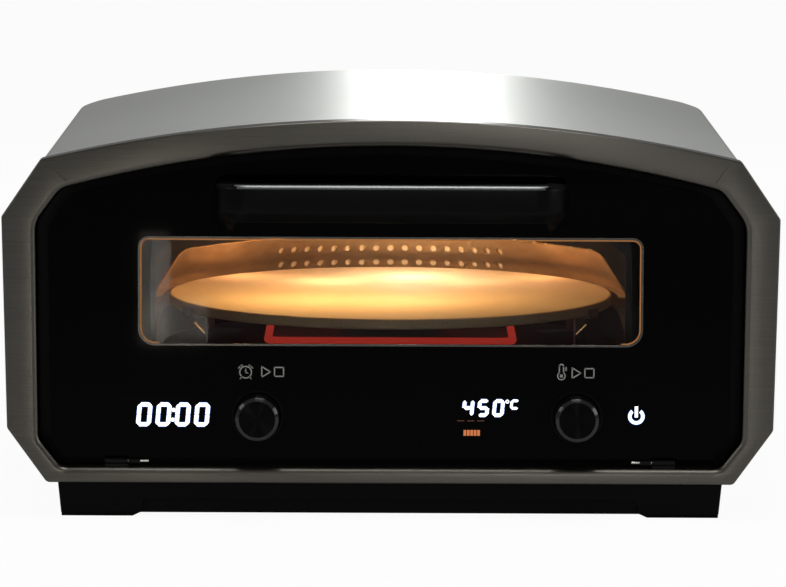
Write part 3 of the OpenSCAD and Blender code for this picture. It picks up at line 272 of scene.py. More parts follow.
def wire(name, path, radius, body, material, steps=12):
    """A round wire along a path in a plane of constant Y, with flat ends. A ring's point is the
    path's point plus the radius times (cosine of the angle across the path + its sine along Y).
    """
    path = np.array(path, float)
    ahead = np.gradient(path, axis=0)
    ahead /= np.linalg.norm(ahead, axis=1)[:, None]
    across = np.stack([-ahead[:, 2], np.zeros(len(path)), ahead[:, 0]], -1)
    a = np.linspace(0, 2 * math.pi, steps, endpoint=False)
    ring = (path[:, None] + radius * (np.cos(a)[None, :, None] * across[:, None]
                                      + np.sin(a)[None, :, None] * np.array([0, 1, 0])))
    ring = np.concatenate([np.repeat(path[:1, None], steps, 1), ring,
                           np.repeat(path[-1:, None], steps, 1)])
    return surface(name, ring, grid_faces(*ring.shape[:2]), body, material)


def prism(name, shapes, near, far, body, material):
    """Flat marks: each convex polygon in X and Z becomes a thin plate from one depth to another."""
    points, faces = [], []
    count = 0
    for shape in shapes:
        shape = np.asarray(shape, float)
        n = len(shape)
        for y in (near, far):
            points.append(np.stack([shape[:, 0], np.full(n, y), shape[:, 1]], -1))
        area = 0.5 * np.sum(shape[:, 0] * np.roll(shape[:, 1], -1)
                            - np.roll(shape[:, 0], -1) * shape[:, 1])
        front = list(range(n)) if area > 0 else list(range(n))[::-1]
        faces.append([count + k for k in front])
        faces.append([count + n + k for k in front[::-1]])
        for k in range(n):
            a, b = front[k], front[(k + 1) % n]
            faces.append([count + b, count + a, count + n + a, count + n + b])
        count += 2 * n
    mesh = bpy.data.meshes.new(name)
    mesh.from_pydata((np.concatenate(points) * MM).tolist(), [], faces)
    finish_mesh(mesh, 30)
    return place(name, mesh, body, material)


def dressed(node, material, bevel=0.0, segments=2, smooth_angle=30, bevel_angle=25):
    """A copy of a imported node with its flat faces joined, its edges softened and its round
    faces shaded smooth; it stands for the node."""
    mesh = frame["nodes"][node].data.copy()
    mesh.name = node + "_dressed"
    b = bmesh.new()
    b.from_mesh(mesh)
    bmesh.ops.remove_doubles(b, verts=b.verts, dist=0.01 * MM)
    if bevel:
        bmesh.ops.dissolve_limit(b, angle_limit=math.radians(0.5), verts=b.verts, edges=b.edges)
    b.to_mesh(mesh)
    b.free()
    for layer in list(mesh.uv_layers):
        mesh.uv_layers.remove(layer)
    if mesh.has_custom_normals:
        mesh.attributes.remove(mesh.attributes["custom_normal"])
    finish_mesh(mesh, smooth_angle)
    piece = place(node + "_dressed", mesh, frame["nodes"][node]["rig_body"], material)
    if bevel:
        edge = piece.modifiers.new("edge", "BEVEL")
        edge.width = bevel * MM
        edge.segments = segments
        edge.limit_method = "ANGLE"
        edge.angle_limit = math.radians(bevel_angle)
        edge.harden_normals = True
        edge.miter_outer = "MITER_ARC"
    else:
        even = piece.modifiers.new("even", "WEIGHTED_NORMAL")
        even.keep_sharp = True
    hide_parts(node)
    return piece


# ---- materials ----
def colour(code):
    """sRGB hex value as linear red, green, blue and alpha."""
    s = np.array([int(code[k:k + 2], 16) for k in (1, 3, 5)]) / 255
    return (*np.where(s <= 0.04045, s / 12.92, ((s + 0.055) / 1.055) ** 2.4).tolist(), 1.0)


def put(tree, kind, inputs=None, **settings):
    """Adds a shader node with its settings; an input is a value or another node's output."""
    node = tree.nodes.new("ShaderNode" + kind)
    for key, value in settings.items():
        setattr(node, key, value)
    for key, value in (inputs or {}).items():
        if isinstance(value, bpy.types.NodeSocket):
            tree.links.new(value, node.inputs[key])
        else:
            node.inputs[key].default_value = value
    return node


def empty_material(name):
    """A material and its node tree, still without nodes."""
    material = bpy.data.materials.new(name)
    material.use_nodes = True
    material.node_tree.nodes.clear()
    return material, material.node_tree


CLOUD_SHARE = 0.35  # how much of a finish's change is cloud, not grain
GROOVE = 0.35  # pitch of turned grooves, drawn coarse enough to show


def finish_of(name, tones, rough, cell, metal=0.0, bump=0.0, cloud=60.0, tangent=None,
              sockets=None, contrast=0.5):
    """A material whose colour, roughness and height vary in cells of a size in millimetres along
    X, Y and Z, over a slow cloudy change that is a cloud's size across. A tangent is the way its
    brush lines stretch the light."""
    material, tree = empty_material(name)
    where = put(tree, "TexCoord").outputs["Object"]
    cells = put(tree, "Mapping", {"Vector": where, "Scale": tuple(1 / (c * MM) for c in cell)})
    grain = put(tree, "TexNoise", {"Vector": cells.outputs["Vector"], "Scale": 1.0, "Detail": 4.0,
                                   "Roughness": 0.6})
    slow = put(tree, "TexNoise", {"Vector": where, "Scale": 1 / (cloud * MM), "Detail": 2.0})
    both = put(tree, "Mix", {"Factor": CLOUD_SHARE, "A": grain.outputs["Fac"],
                             "B": slow.outputs["Fac"]}, data_type="FLOAT")
    shade = put(tree, "MapRange", {"Value": both.outputs["Result"],
                                   "From Min": 0.5 - contrast / 2,
                                   "From Max": 0.5 + contrast / 2})
    tone = put(tree, "Mix", {"Factor": shade.outputs["Result"], "A": colour(tones[0]),
                             "B": colour(tones[1])}, data_type="RGBA")
    sheen = put(tree, "MapRange", {"Value": both.outputs["Result"], "From Min": 0.3,
                                   "From Max": 0.7, "To Min": rough[0], "To Max": rough[1]})
    shader = put(tree, "BsdfPrincipled", {"Base Color": tone.outputs["Result"],
                                          "Roughness": sheen.outputs["Result"],
                                          "Metallic": metal})
    for key, value in (sockets or {}).items():
        shader.inputs[key].default_value = value
    if bump:
        height = put(tree, "Bump", {"Height": grain.outputs["Fac"], "Strength": 1.0,
                                    "Distance": bump * MM})
        tree.links.new(height.outputs["Normal"], shader.inputs["Normal"])
    if tangent:
        along = put(tree, "CombineXYZ", {"X": tangent[0], "Y": tangent[1], "Z": tangent[2]})
        turned_along = put(tree, "VectorTransform", {"Vector": along.outputs["Vector"]},
                           vector_type="VECTOR", convert_from="OBJECT", convert_to="WORLD")
        tree.links.new(turned_along.outputs["Vector"], shader.inputs["Tangent"])
    put(tree, "OutputMaterial", {"Surface": shader.outputs["BSDF"]})
    return material


def turned_finish(name, tones, rough, centre, face_r, rim_tone, rim_rough):
    """Metal turned on a lathe about an axis along Y through a centre (x, z), in millimetres: fine
    rings whose light stretches outwards from the middle, and a polished rim outside the face."""
    material, tree = empty_material(name)
    where = put(tree, "TexCoord").outputs["Object"]
    off = put(tree, "VectorMath", {0: where, 1: (centre[0] * MM, 0, centre[1] * MM)},
              operation="SUBTRACT")
    flat = put(tree, "VectorMath", {0: off.outputs[0], 1: (1, 0, 1)}, operation="MULTIPLY")
    radius = put(tree, "VectorMath", {0: flat.outputs[0]}, operation="LENGTH").outputs["Value"]
    ring = put(tree, "Math", {0: radius, 1: GROOVE * MM}, operation="DIVIDE")
    grooves = put(tree, "TexNoise", {"W": ring.outputs[0], "Scale": 1.0, "Detail": 3.0},
                  noise_dimensions="1D")
    blend = 0.15  # half the width over which face turns to rim
    at_rim = put(tree, "MapRange", {"Value": radius, "From Min": (face_r - blend) * MM,
                                    "From Max": (face_r + blend) * MM})
    face = put(tree, "Mix", {"Factor": grooves.outputs["Fac"], "A": colour(tones[0]),
                             "B": colour(tones[1])}, data_type="RGBA")
    tone = put(tree, "Mix", {"Factor": at_rim.outputs["Result"], "A": face.outputs["Result"],
                             "B": colour(rim_tone)}, data_type="RGBA")
    even = put(tree, "MapRange", {"Value": grooves.outputs["Fac"], "From Min": 0.3, "From Max": 0.7,
                                  "To Min": rough[0], "To Max": rough[1]})
    smooth = put(tree, "MapRange", {"Value": at_rim.outputs["Result"],
                                    "To Min": even.outputs["Result"], "To Max": rim_rough})
    along = put(tree, "VectorTransform", {"Vector": flat.outputs[0]}, vector_type="VECTOR",
                convert_from="OBJECT", convert_to="WORLD")
    height = put(tree, "Bump", {"Height": grooves.outputs["Fac"], "Distance": 0.002 * MM})
    shader = put(tree, "BsdfPrincipled", {"Base Color": tone.outputs["Result"], "Metallic": 1.0,
                                          "Roughness": smooth.outputs["Result"],
                                          "Anisotropic": 0.95, "Tangent": along.outputs["Vector"],
                                          "Normal": height.outputs["Normal"]})
    put(tree, "OutputMaterial", {"Surface": shader.outputs["BSDF"]})
    return material


# Brushed stainless steel of the front frame: fine level lines, dark with painted shade where it
# faces the room
frame_steel_painted_shade = finish_of("stainless_steel_brushed_painted_shade", ("#4a4843", "#5f5c56"), (0.26, 0.34),
                        (70, 0.7, 0.45), metal=1.0, bump=0.012, cloud=400,
                        sockets={"Anisotropic": 0.8}, tangent=(0, 0.3, 1))
# Brushed stainless steel of the roof: pale, its lines run side to side so light stretches back
roof_steel = finish_of("stainless_steel_brushed", ("#b0b2ad", "#c6c8c4"), (0.34, 0.44),
                       (80, 0.5, 0.5), metal=1.0, bump=0.010, cloud=500,
                       sockets={"Anisotropic": 0.6}, tangent=(0, 1, 0))
# Brushed steel of the sides and back, lines along the depth
side_steel = finish_of("stainless_steel_brushed_side", ("#7c7b76", "#94938e"), (0.34, 0.46),
                       (0.5, 80, 0.5), metal=1.0, bump=0.010, cloud=400)
# Plain cold-rolled steel sheet: dull and even, for parts inside the case
sheet_steel = finish_of("steel_sheet_rolled", ("#8b8a86", "#a09f9a"), (0.38, 0.5), (6, 30, 6),
                        metal=1.0, bump=0.01)
# Baked black enamel on steel: near black, with a faint orange-peel gloss
black_enamel = finish_of("enamel_baked_black", ("#040404", "#080807"), (0.32, 0.42),
                         (2.5, 2.5, 2.5), bump=0.01, sockets={"Specular IOR Level": 0.1})
# Polished stainless steel of pins, screws, shafts and probe: small bright clean lights
bright_steel = finish_of("stainless_steel_polished", ("#bdbcb7", "#cccbc6"), (0.10, 0.2), (8, 8, 8),
                         metal=1.0)
# Drawn stainless wire of the window trim: duller, its tone darkened as painted shade, so that it
# stays a thin grey line
trim_steel_painted_shade = finish_of("stainless_steel_drawn_painted_shade", ("#504e4a", "#5e5c57"), (0.2, 0.32), (30, 4, 4),
                       metal=1.0)
# Steel that has been hot: straw and brown oxide clouds over a dull metal
hot_steel = finish_of("steel_heat_tinted", ("#8f775a", "#b59d7c"), (0.36, 0.48), (9, 9, 4),
                      metal=0.9, bump=0.004, cloud=40)
# Rolled and polished edges of that steel: they catch the lamp as thin warm lines
rim_steel = finish_of("steel_edge_polished_warm", ("#d8b27c", "#e6c592"), (0.2, 0.3), (12, 12, 12),
                      metal=1.0)
# The same steel in the mouth and the pan, darkened as painted shade: a deeper, duller brown
front_steel_painted_shade = finish_of("steel_heat_tinted_painted_shade", ("#3a3028", "#57493b"), (0.36, 0.5), (12, 12, 6),
                        metal=0.85, bump=0.02, cloud=50)
# Toughened glass painted black behind, with an anti-glare coat: deep black, faint clean reflections
black_glass = finish_of("glass_toughened_black", ("#010101", "#020202"), (0.03, 0.07),
                        (40, 40, 40), sockets={"IOR": 1.5, "Specular IOR Level": 0.03})
# Satin black coated aluminium of the handle: soft broad highlights, very fine blasted grain
handle_black = finish_of("aluminium_coated_black", ("#030303", "#060606"), (0.26, 0.34),
                         (0.6, 0.6, 0.6), bump=0.006, sockets={"Specular IOR Level": 0.06})
# The handle's upper edge in pale bare metal, a painted highlight: one pale line
handle_edge_painted_highlight = finish_of("aluminium_edge_painted_highlight", ("#5a5c5b", "#676968"), (0.3, 0.4), (20, 1, 1),
                        metal=1.0)
# Moulded black ABS with a fine spark-eroded texture
base_plastic = finish_of("abs_moulded_black", ("#020202", "#050505"), (0.42, 0.56),
                         (0.8, 0.8, 0.8), bump=0.03, sockets={"Specular IOR Level": 0.06})
# Black anodised aluminium, turned: tight rings that pull light into thin lines
knob_blacks = [turned_finish("aluminium_turned_black_" + side, ("#0a0a0b", "#111112"),
                             (0.18, 0.24), (x, KNOB_Z), KNOB_R - KNOB_BEVEL, "#3b3b3a", 0.2)
               for side, x in (("left", TIMER_X), ("right", HEAT_X))]
# Cordierite stone: sandy, pressed, with fine specks and faint bake marks
stone = finish_of("cordierite_pressed", ("#c3a67c", "#dcc49c"), (0.8, 0.92), (1.6, 1.6, 1.6),
                  bump=0.05, cloud=70, contrast=0.4)
# Sheathed heating tube, dull oxide over metal, glowing red from within
glowing_tube = finish_of("incoloy_tube_glowing", ("#5a2019", "#74291f"), (0.5, 0.6), (3, 3, 3),
                         metal=0.3, bump=0.02,
                         sockets={"Emission Color": colour("#b83226"), "Emission Strength": 0.5})
# The same tube at the top, further from its full heat: browner, a weaker glow
upper_tube = finish_of("incoloy_tube", ("#5c443a", "#70544a"), (0.5, 0.6), (3, 3, 3), metal=0.5,
                       bump=0.02, sockets={"Emission Color": colour("#c8281a"),
                                           "Emission Strength": 0.4})
# Clear borosilicate pane with a coat that takes most of the glare off it
clear_glass = finish_of("glass_borosilicate_clear", ("#fbfdfd", "#ffffff"), (0.0, 0.015),
                        (30, 30, 30), sockets={"IOR": 1.47, "Transmission Weight": 1.0,
                                               "Specular Tint": colour("#4a4a4a")})
# Frosted glass of the lamp: lit evenly from within
lamp_glass = finish_of("glass_lamp_frosted", ("#ffe9c4", "#fff2da"), (0.3, 0.4), (2, 2, 2),
                       sockets={"Emission Color": colour("#ffc070"), "Emission Strength": 2.0})
# Steatite ceramic with a clear glaze: warm white, softly shiny
ceramic = finish_of("steatite_glazed", ("#e3ddd0", "#eee9de"), (0.3, 0.4), (4, 4, 4))
# Needled mineral wool: soft, uneven, buff where the heat has browned it
wool = finish_of("mineral_wool_needled", ("#c6a578", "#e2c79c"), (0.92, 1.0), (3, 3, 3), bump=0.6)
# Woven glass-fibre seal: black, dull, with the weave just felt
seal_fibre = finish_of("glass_fibre_woven_black", ("#111111", "#1f1e1d"), (0.8, 0.95),
                       (1.2, 1.2, 1.2), bump=0.15)
# Moulded rubber of the pads: matt, slightly grey black
rubber = finish_of("rubber_moulded_black", ("#101010", "#181818"), (0.7, 0.85), (1, 1, 1),
                   bump=0.03)
# Lacquered glass-epoxy board: mottled green with a low shine
circuit = finish_of("epoxy_board_green", ("#1d4a2a", "#2b6b3b"), (0.35, 0.5), (5, 5, 5))
# Moulded natural nylon of the posts: milky white
nylon = finish_of("nylon_moulded_white", ("#cfcdc6", "#dedcd6"), (0.4, 0.5), (2, 2, 2))
# Tinned copper foil of the touch pad: pale gold
foil = finish_of("copper_foil_tinned", ("#b59a5a", "#c8ad6c"), (0.25, 0.4), (4, 4, 4), metal=1.0)
# Turned brass of the plungers: fine rings across the axis
brass = finish_of("brass_turned", ("#a98545", "#bb9652"), (0.25, 0.35), (0.5, 4, 0.5), metal=1.0)
# Smoked plastic window of a display: blue-black and clean
display_black = finish_of("display_window_black", ("#050507", "#08080a"), (0.1, 0.2), (5, 5, 5))


def lit(name, code, strength, base="#0a0a0a"):
    """A lit mark behind the glass: plain even light."""
    return finish_of(name, (base, base), (0.3, 0.4), (2, 2, 2),
                     sockets={"Emission Color": colour(code), "Emission Strength": strength})


# Painted glow of the chamber's light in the pane's ground edge, lit figures, lamps, and the
# figures' blue rim
pane_edge_painted_glow = lit("glass_edge_painted_glow", "#d48c48", 0.42, "#5c3c20")
digit_light = lit("led_diffuser_white", "#f4f8ff", 1.4, "#e8ecf4")
pilot_orange = lit("led_diffuser_orange", "#f08a4c", 0.6, "#6a2c14")
faint_orange = lit("led_diffuser_orange_dim", "#a84a22", 0.12, "#30160c")
blue_fringe = lit("led_diffuser_blue_fringe", "#4a8cff", 0.6, "#203050")
# Screen-printed grey ink: flat, dry, a little uneven
grey_ink = finish_of("ink_screen_printed_grey", ("#83837e", "#92928d"), (0.6, 0.7), (2, 2, 2))

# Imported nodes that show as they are, each with its finish
NODE_FINISH = {
    "bottom_plate": side_steel, "rubber_feet": rubber, "case_screws": bright_steel,
    "bulkhead": black_enamel, "stone_pan": front_steel_painted_shade, "stone_rests": sheet_steel,
    "hood_seat": hot_steel, "element_bushes": ceramic, "terminal_plate": sheet_steel,
    "upper_element_clips": sheet_steel, "hood_blanket": wool, "pan_blanket": wool,
    "temperature_probe": bright_steel, "lamp_holder": ceramic, "power_board": circuit,
    "board_posts": nylon, "terminal_block": ceramic, "cord_gland": base_plastic,
    "door_seal": seal_fibre, "hinge_brackets": black_enamel, "hinge_pins": bright_steel,
    "outer_window_pane": clear_glass, "inner_window_pane": clear_glass,
    "door_chassis": base_plastic, "inner_door_panel": sheet_steel,
    "door_hinge_leaves": black_enamel, "handle_screws": bright_steel,
    "control_board": circuit, "touch_pad": foil, "pilot_light": pilot_orange,
}
for side in ("timer", "heat"):
    NODE_FINISH.update({side + "_display": display_black, side + "_encoder": sheet_steel,
                        side + "_plunger": brass, side + "_shaft": bright_steel})
for node, material in NODE_FINISH.items():
    mesh = frame["nodes"][node].data
    mesh.materials.clear()
    mesh.materials.append(material)

# ---- case ----
QUARTER_TURN = np.linspace(0, math.pi / 2, 7)


def frame_rings():
    """Rings round the frame's section, outside flange first: each is an outline moved inwards by a
    gap and set at a depth; quarter circles turn the two bends."""
    straight = 0.3  # flange left between the outer bend and the next ring
    rings = [("out", 0.0, FLANGE_D), ("out", 0.0, ROUND_OUT + straight)]
    rings += [("out", ROUND_OUT * (1 - math.cos(a)), ROUND_OUT * (1 - math.sin(a)))
              for a in QUARTER_TURN]
    rings += [("in", -ROUND_IN + ROUND_IN * math.sin(a), ROUND_IN * (1 - math.cos(a)))
              for a in QUARTER_TURN]
    rings += [("in", 0.0, LIP_D), ("in", -FRAME_T, LIP_D)]
    inner = ROUND_IN - FRAME_T
    rings += [("in", -ROUND_IN + inner * math.cos(a), ROUND_IN - inner * math.sin(a))
              for a in QUARTER_TURN]
    rings += [("out", FRAME_T, FRAME_T), ("out", FRAME_T, FLANGE_D)]
    points = []
    for which, gap, depth in rings:
        outline, radii = ((FRAME_OUTLINE, FRAME_RADII) if which == "out"
                          else (MOUTH_OUTLINE, MOUTH_RADII))
        ring = outline_points(inset(outline, gap), [max(r - gap, 1.0) for r in radii])
        points.append(np.stack([ring[:, 0], np.full(len(ring), FRONT + depth), ring[:, 1]], -1))
    return np.array(points)


rings = frame_rings()
front_frame = surface("front_frame_folded", rings, grid_faces(*rings.shape[:2], wrap_rows=True),
                      "oven", frame_steel_painted_shade, smooth_angle=40)
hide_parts("front_frame")

dressed("roof_panel", roof_steel, smooth_angle=30)
for panel_node in ("left_side_panel", "right_side_panel", "rear_panel"):
    dressed(panel_node, side_steel)
dressed("base_plinth", base_plastic, bevel=0.8, segments=3)
for hood_node in ("oven_hood", "hood_crown"):
    dressed(hood_node, hot_steel, smooth_angle=35)
dressed("mouth_liner", front_steel_painted_shade, smooth_angle=35)

# ---- rolled front edge of the hood: up the leaning wall, round the knee and over the crown ----
HOOD_LOW, HOOD_HIGH = span("oven_hood")
CROWN_LOW, CROWN_HIGH = span("hood_crown")
RIM_IN = 1.0  # from the hood's outside to the rim's middle
RIM_AHEAD = 0.6  # from the hood's front edge to the rim's middle
RIM_R = 0.75
KNEE_R = 14  # where the wall turns into the crown
ARCH_POINTS = 49
knee_x, knee_z, top_z = CROWN_HIGH[0] - RIM_IN, CROWN_LOW[2], CROWN_HIGH[2] - RIM_IN
crown_r = arc_radius(knee_x, top_z - knee_z)
arch_x = np.linspace(-knee_x, knee_x, ARCH_POINTS)
arch = np.stack([arch_x, top_z - crown_r + np.sqrt(crown_r ** 2 - arch_x ** 2)], -1)
foot = np.array([HOOD_HIGH[0] - RIM_IN, HOOD_LOW[2]])
rim = fillet([foot * [-1, 1], *arch, foot], [0, KNEE_R] + [0] * (ARCH_POINTS - 2) + [KNEE_R, 0],
             steps=10, closed=False)
wire("hood_rim", np.stack([rim[:, 0], np.full(len(rim), HOOD_LOW[1] - RIM_AHEAD), rim[:, 1]], -1),
     RIM_R, "oven", rim_steel)

# ---- bent wire clips under the stone, one at each side of the mouth ----
CLIP_Y, CLIP_R = -82, 0.7
CLIP_PATH = ((131.0, 112.0), (127.5, 108.6), (124.0, 105.2))  # (from the middle, height)
for side, tag in ((-1, "left"), (1, "right")):
    wire("rest_clip_" + tag, [(side * x, CLIP_Y, z) for x, z in CLIP_PATH], CLIP_R,
         "oven", rim_steel)

# ---- stone and heating tubes ----
EDGE = 1.6  # radius of the stone's pressed edges
stone_low = STONE_LOW[2]
stone_profile = ([(0, stone_low)]
                 + [(STONE_R - EDGE + EDGE * math.sin(a), stone_low + EDGE - EDGE * math.cos(a))
                    for a in QUARTER_TURN]
                 + [(STONE_R - EDGE + EDGE * math.cos(a), STONE_TOP - EDGE + EDGE * math.sin(a))
                    for a in QUARTER_TURN]
                 + [(0, STONE_TOP)])
piece = turned("pizza_stone_pressed", stone_profile, (0, STONE_Y, 0), "Z", "oven",
               stone, steps=192)
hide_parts("pizza_stone")
dressed("lower_element", glowing_tube, smooth_angle=50)
dressed("upper_element", upper_tube, smooth_angle=50)

# ---- lamp: a slim capsule that ends inside its holder ----
LAMP_LOW, LAMP_HIGH = span("oven_lamp")
CAPSULE_R, CAPSULE_LOW = 4.1, LAMP_LOW[2] + 11.0
NECK_R, NECK_L, SHOULDER = CAPSULE_R - 1.2, 5.5, 1.5
lamp_profile = [(CAPSULE_R * math.sin(a), CAPSULE_LOW + CAPSULE_R - CAPSULE_R * math.cos(a))
                for a in np.linspace(0, math.pi / 2, 10)]
lamp_profile += [(CAPSULE_R, LAMP_HIGH[2] - NECK_L - SHOULDER), (NECK_R, LAMP_HIGH[2] - NECK_L),
                 (NECK_R, LAMP_HIGH[2]), (0.0, LAMP_HIGH[2])]
lamp_profile[0] = (0.0, CAPSULE_LOW)
piece = turned("oven_lamp_capsule", lamp_profile,
               ((LAMP_LOW[0] + LAMP_HIGH[0]) / 2, (LAMP_LOW[1] + LAMP_HIGH[1]) / 2, 0), "Z",
               "oven", lamp_glass, steps=48)
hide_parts("oven_lamp")

# ---- ground edge of the window pane: a painted glow stands for the chamber's warm light in it ----
PANE_LOW, PANE_HIGH = span("outer_window_pane")
GLOW_R, GLOW_DEPTH = 0.42, 0.35  # the painted glowing line, and how far behind the face it lies
GLOW_LOW_R, GLOW_TOP_R = 9, 5  # its corners
GLOW_RUN = 12  # how far it goes on under the window
px, pz0, pz1 = PANE_HIGH[0] - 0.6, PANE_LOW[2] + 0.7, PANE_HIGH[2] - 0.6
path = fillet([(-px + GLOW_RUN, pz0), (-px, pz0), (-px, pz1), (px, pz1), (px, pz0),
               (px - GLOW_RUN, pz0)], [0, GLOW_LOW_R, GLOW_TOP_R, GLOW_TOP_R, GLOW_LOW_R, 0],
              closed=False)
wire("pane_edge", np.stack([path[:, 0], np.full(len(path), PANE_LOW[1] + GLOW_DEPTH),
                            path[:, 1]], -1), GLOW_R, "door", pane_edge_painted_glow)

# ---- door ----
dressed("door_glass", black_glass, bevel=0.5, segments=3)
dressed("window_trim", trim_steel_painted_shade, bevel=0.25, segments=2)

# ---- handle ----
BAR_H, BAR_T = 25.0, 13.5  # height and thickness of the bar
CHAMFER_H, CHAMFER_T = 7.5, 4.5  # slanted face along its lower front
LEG_FROM = 17.0  # from the bar's front to where the legs start to slope
LEG_DROP_TOP, LEG_DROP_LOW = 14.0, 9.0  # how far their top and underside drop at the glass
BAR_CORNER_R = 22.0


def handle_points(section, path_r, steps):
    """The bar's section carried along a level path: forward along one leg, round a corner arc,
    along the front and back along the other leg. Each point is the path's point less its normal
    times the section's depth; both legs slope down towards the glass."""
    x1, y0, y1 = HANDLE_HIGH[0], HANDLE_LOW[1], HANDLE_HIGH[1]
    legs, fronts = 8, 11
    leg = np.linspace(y1, y0 + path_r, legs + 1)[:-1]
    a = np.linspace(0, math.pi / 2, steps)
    arc_x, arc_y = x1 - path_r + path_r * np.cos(a), y0 + path_r - path_r * np.sin(a)
    front = np.linspace(x1 - path_r, 0, fronts + 1)[1:]
    x = np.concatenate([np.full(legs, x1), arc_x, front])
    y = np.concatenate([leg, arc_y, np.full(fronts, y0)])
    normal = np.concatenate([np.tile([1.0, 0.0], (legs, 1)),
                             np.stack([np.cos(a), -np.sin(a)], -1),
                             np.tile([0.0, -1.0], (fronts, 1))])
    slope = np.clip((y - (y0 + LEG_FROM)) / (y1 - y0 - LEG_FROM), 0, 1)
    path = np.stack([x, y], -1)
    path = np.concatenate([path, path[:-1][::-1] * [-1, 1]])
    normal = np.concatenate([normal, normal[:-1][::-1] * [-1, 1]])
    slope = np.concatenate([slope, slope[:-1][::-1]])
    depth, height = section.T
    xy = path[:, None] - normal[:, None] * depth[None, :, None]
    share = (height - (HANDLE_HIGH[2] - BAR_H)) / BAR_H
    z = height[None] - slope[:, None] * (LEG_DROP_TOP * share + LEG_DROP_LOW * (1 - share))[None]
    return np.concatenate([xy, z[..., None]], -1)


top = HANDLE_HIGH[2]
section = fillet([(0, top - BAR_H + CHAMFER_H), (0, top), (BAR_T, top), (BAR_T, top - BAR_H),
                  (BAR_T - CHAMFER_T, top - BAR_H)], [2.5, 3.6, 1.5, 1.2, 2.5])
points = handle_points(section, BAR_CORNER_R, 17)
rows, cols = points.shape[:2]
caps = [np.repeat(points[k].mean(0)[None], cols, 0)[None] for k in (0, -1)]
points = np.concatenate([caps[0], points, caps[1]])
piece = surface("handle_bar", points, grid_faces(rows + 2, cols), "door",
                handle_black, smooth_angle=35)
piece.data.materials.append(handle_edge_painted_highlight)
HIGHLIGHT_END_GAP = 15.0  # from the handle's end to the end of the painted highlight line
# Faces of the bar's upper front rounding take the pale metal: a painted highlight
for face in piece.data.polygons:
    on_edge = face.normal.y < -0.1 and 0.2 < face.normal.z < 0.99
    if on_edge and abs(face.center.x) < (HANDLE_HIGH[0] - HIGHLIGHT_END_GAP) * MM:
        face.material_index = 1
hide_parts("handle")


# ---- knobs ----
def make_knob(name, x, body, node, material):
    """A turned knob as a profile of (radius, length) from its bore out: hollow back, side with a
    soft edge, a wide polished bevel, a fine step and the flat face."""
    low, high = GLASS_FACE - KNOB_HIGH[1], GLASS_FACE - KNOB_LOW[1]
    r, bevel_w, bevel_d, step = KNOB_R, KNOB_BEVEL, 1.5, 0.3
    shaft_r, hub_r, wall, web, bore_end = 3.0, 6.0, 2, 4, 2.4
    turn = np.linspace(0, 1, 5)
    side_edge = [(r - 0.35 * t * t, high - bevel_d - 0.5 + 0.5 * t) for t in turn]
    profile = [(0.0, high - bore_end), (shaft_r, high - bore_end), (shaft_r, low), (hub_r, low),
               (hub_r, high - web), (r - wall, high - web), (r - wall, low), (r - 0.1, low),
               (r, low + 0.3)]
    profile += side_edge
    profile += [(r - bevel_w, high - 0.05), (r - bevel_w - 0.15, high),
                (r - bevel_w - 0.35, high - step), (0.0, high - step)]
    piece = turned(name, profile, (x, GLASS_FACE, KNOB_Z), "Y", body, material,
                   steps=160, smooth_angle=24)
    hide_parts(node)


make_knob("timer_knob_turned", TIMER_X, "timer_turn", "timer_knob", knob_blacks[0])
make_knob("heat_knob_turned", HEAT_X, "heat_turn", "heat_knob", knob_blacks[1])
for ring_node in ("timer_ring", "heat_ring"):
    dressed(ring_node, base_plastic, bevel=0.2, smooth_angle=30)

# ---- lit marks and printed icons on the glass ----
# Marks stand just proud of the glass, their blue fringes half as far, and both sink into it
MARK_NEAR, FRINGE_NEAR, MARK_FAR = GLASS_FACE - 0.06, GLASS_FACE - 0.03, GLASS_FACE + 0.2
SEGMENTS = {"0": "abcdef", "4": "bcfg", "5": "acdfg", "C": "adef"}
SLANT = 0.09  # sideways lean of a figure for its height
FRINGE = 0.3  # how far the blue fringe goes past a figure


def seven_segments(text, left, low, width, height, stroke, pitch, grow=0.0):
    """Polygons of slanted seven-segment figures. Each segment is a bar that is pointed where it
    meets another at a corner, and blunt at the middle of the figure. A grow makes every bar that
    much larger on each side."""
    left, low = left - grow, low - grow
    width, height, stroke = width + 2 * grow, height + 2 * grow, stroke + 2 * grow
    shapes = []
    for k, figure in enumerate(text):
        x1, z1 = width - stroke, height - stroke
        mid = z1 / 2
        ends = {"a": ((0, z1), (x1, z1)), "b": ((x1, mid), (x1, z1)), "c": ((x1, mid), (x1, 0)),
                "d": ((0, 0), (x1, 0)), "e": ((0, mid), (0, 0)), "f": ((0, mid), (0, z1)),
                "g": ((0, mid), (x1, mid))}
        for segment in SEGMENTS[figure]:
            p, q = (np.array(e) + stroke / 2 for e in ends[segment])
            d = unit(q - p)
            n = np.array([-d[1], d[0]]) * stroke / 2
            blunt = 0.12 if segment in "bcef" else 0.5
            bar_points = np.array([p, p + d * stroke * blunt * 0.7 + n,
                                   q - d * stroke * 0.42 + n, q + d * stroke * 0.06 + n * 0.25,
                                   q + d * stroke * 0.06 - n * 0.25, q - d * stroke * 0.42 - n,
                                   p + d * stroke * blunt * 0.7 - n])
            bar_points[:, 0] += bar_points[:, 1] * SLANT + left + k * pitch
            bar_points[:, 1] += low
            shapes.append(bar_points)
    return shapes


def disc(x, z, r, steps=20):
    """A round polygon."""
    a = np.linspace(0, 2 * math.pi, steps, endpoint=False)
    return np.stack([x + r * np.cos(a), z + r * np.sin(a)], -1)


def stroke_path(path, width):
    """Quads that follow a line of points, with round joints."""
    path = np.array(path, float)
    shapes = [disc(*p, width / 2, 10) for p in path]
    for p, q in zip(path[:-1], path[1:]):
        n = np.array([p[1] - q[1], q[0] - p[0]])
        n = n / np.linalg.norm(n) * width / 2
        shapes.append(np.array([p + n, q + n, q - n, p - n]))
    return shapes


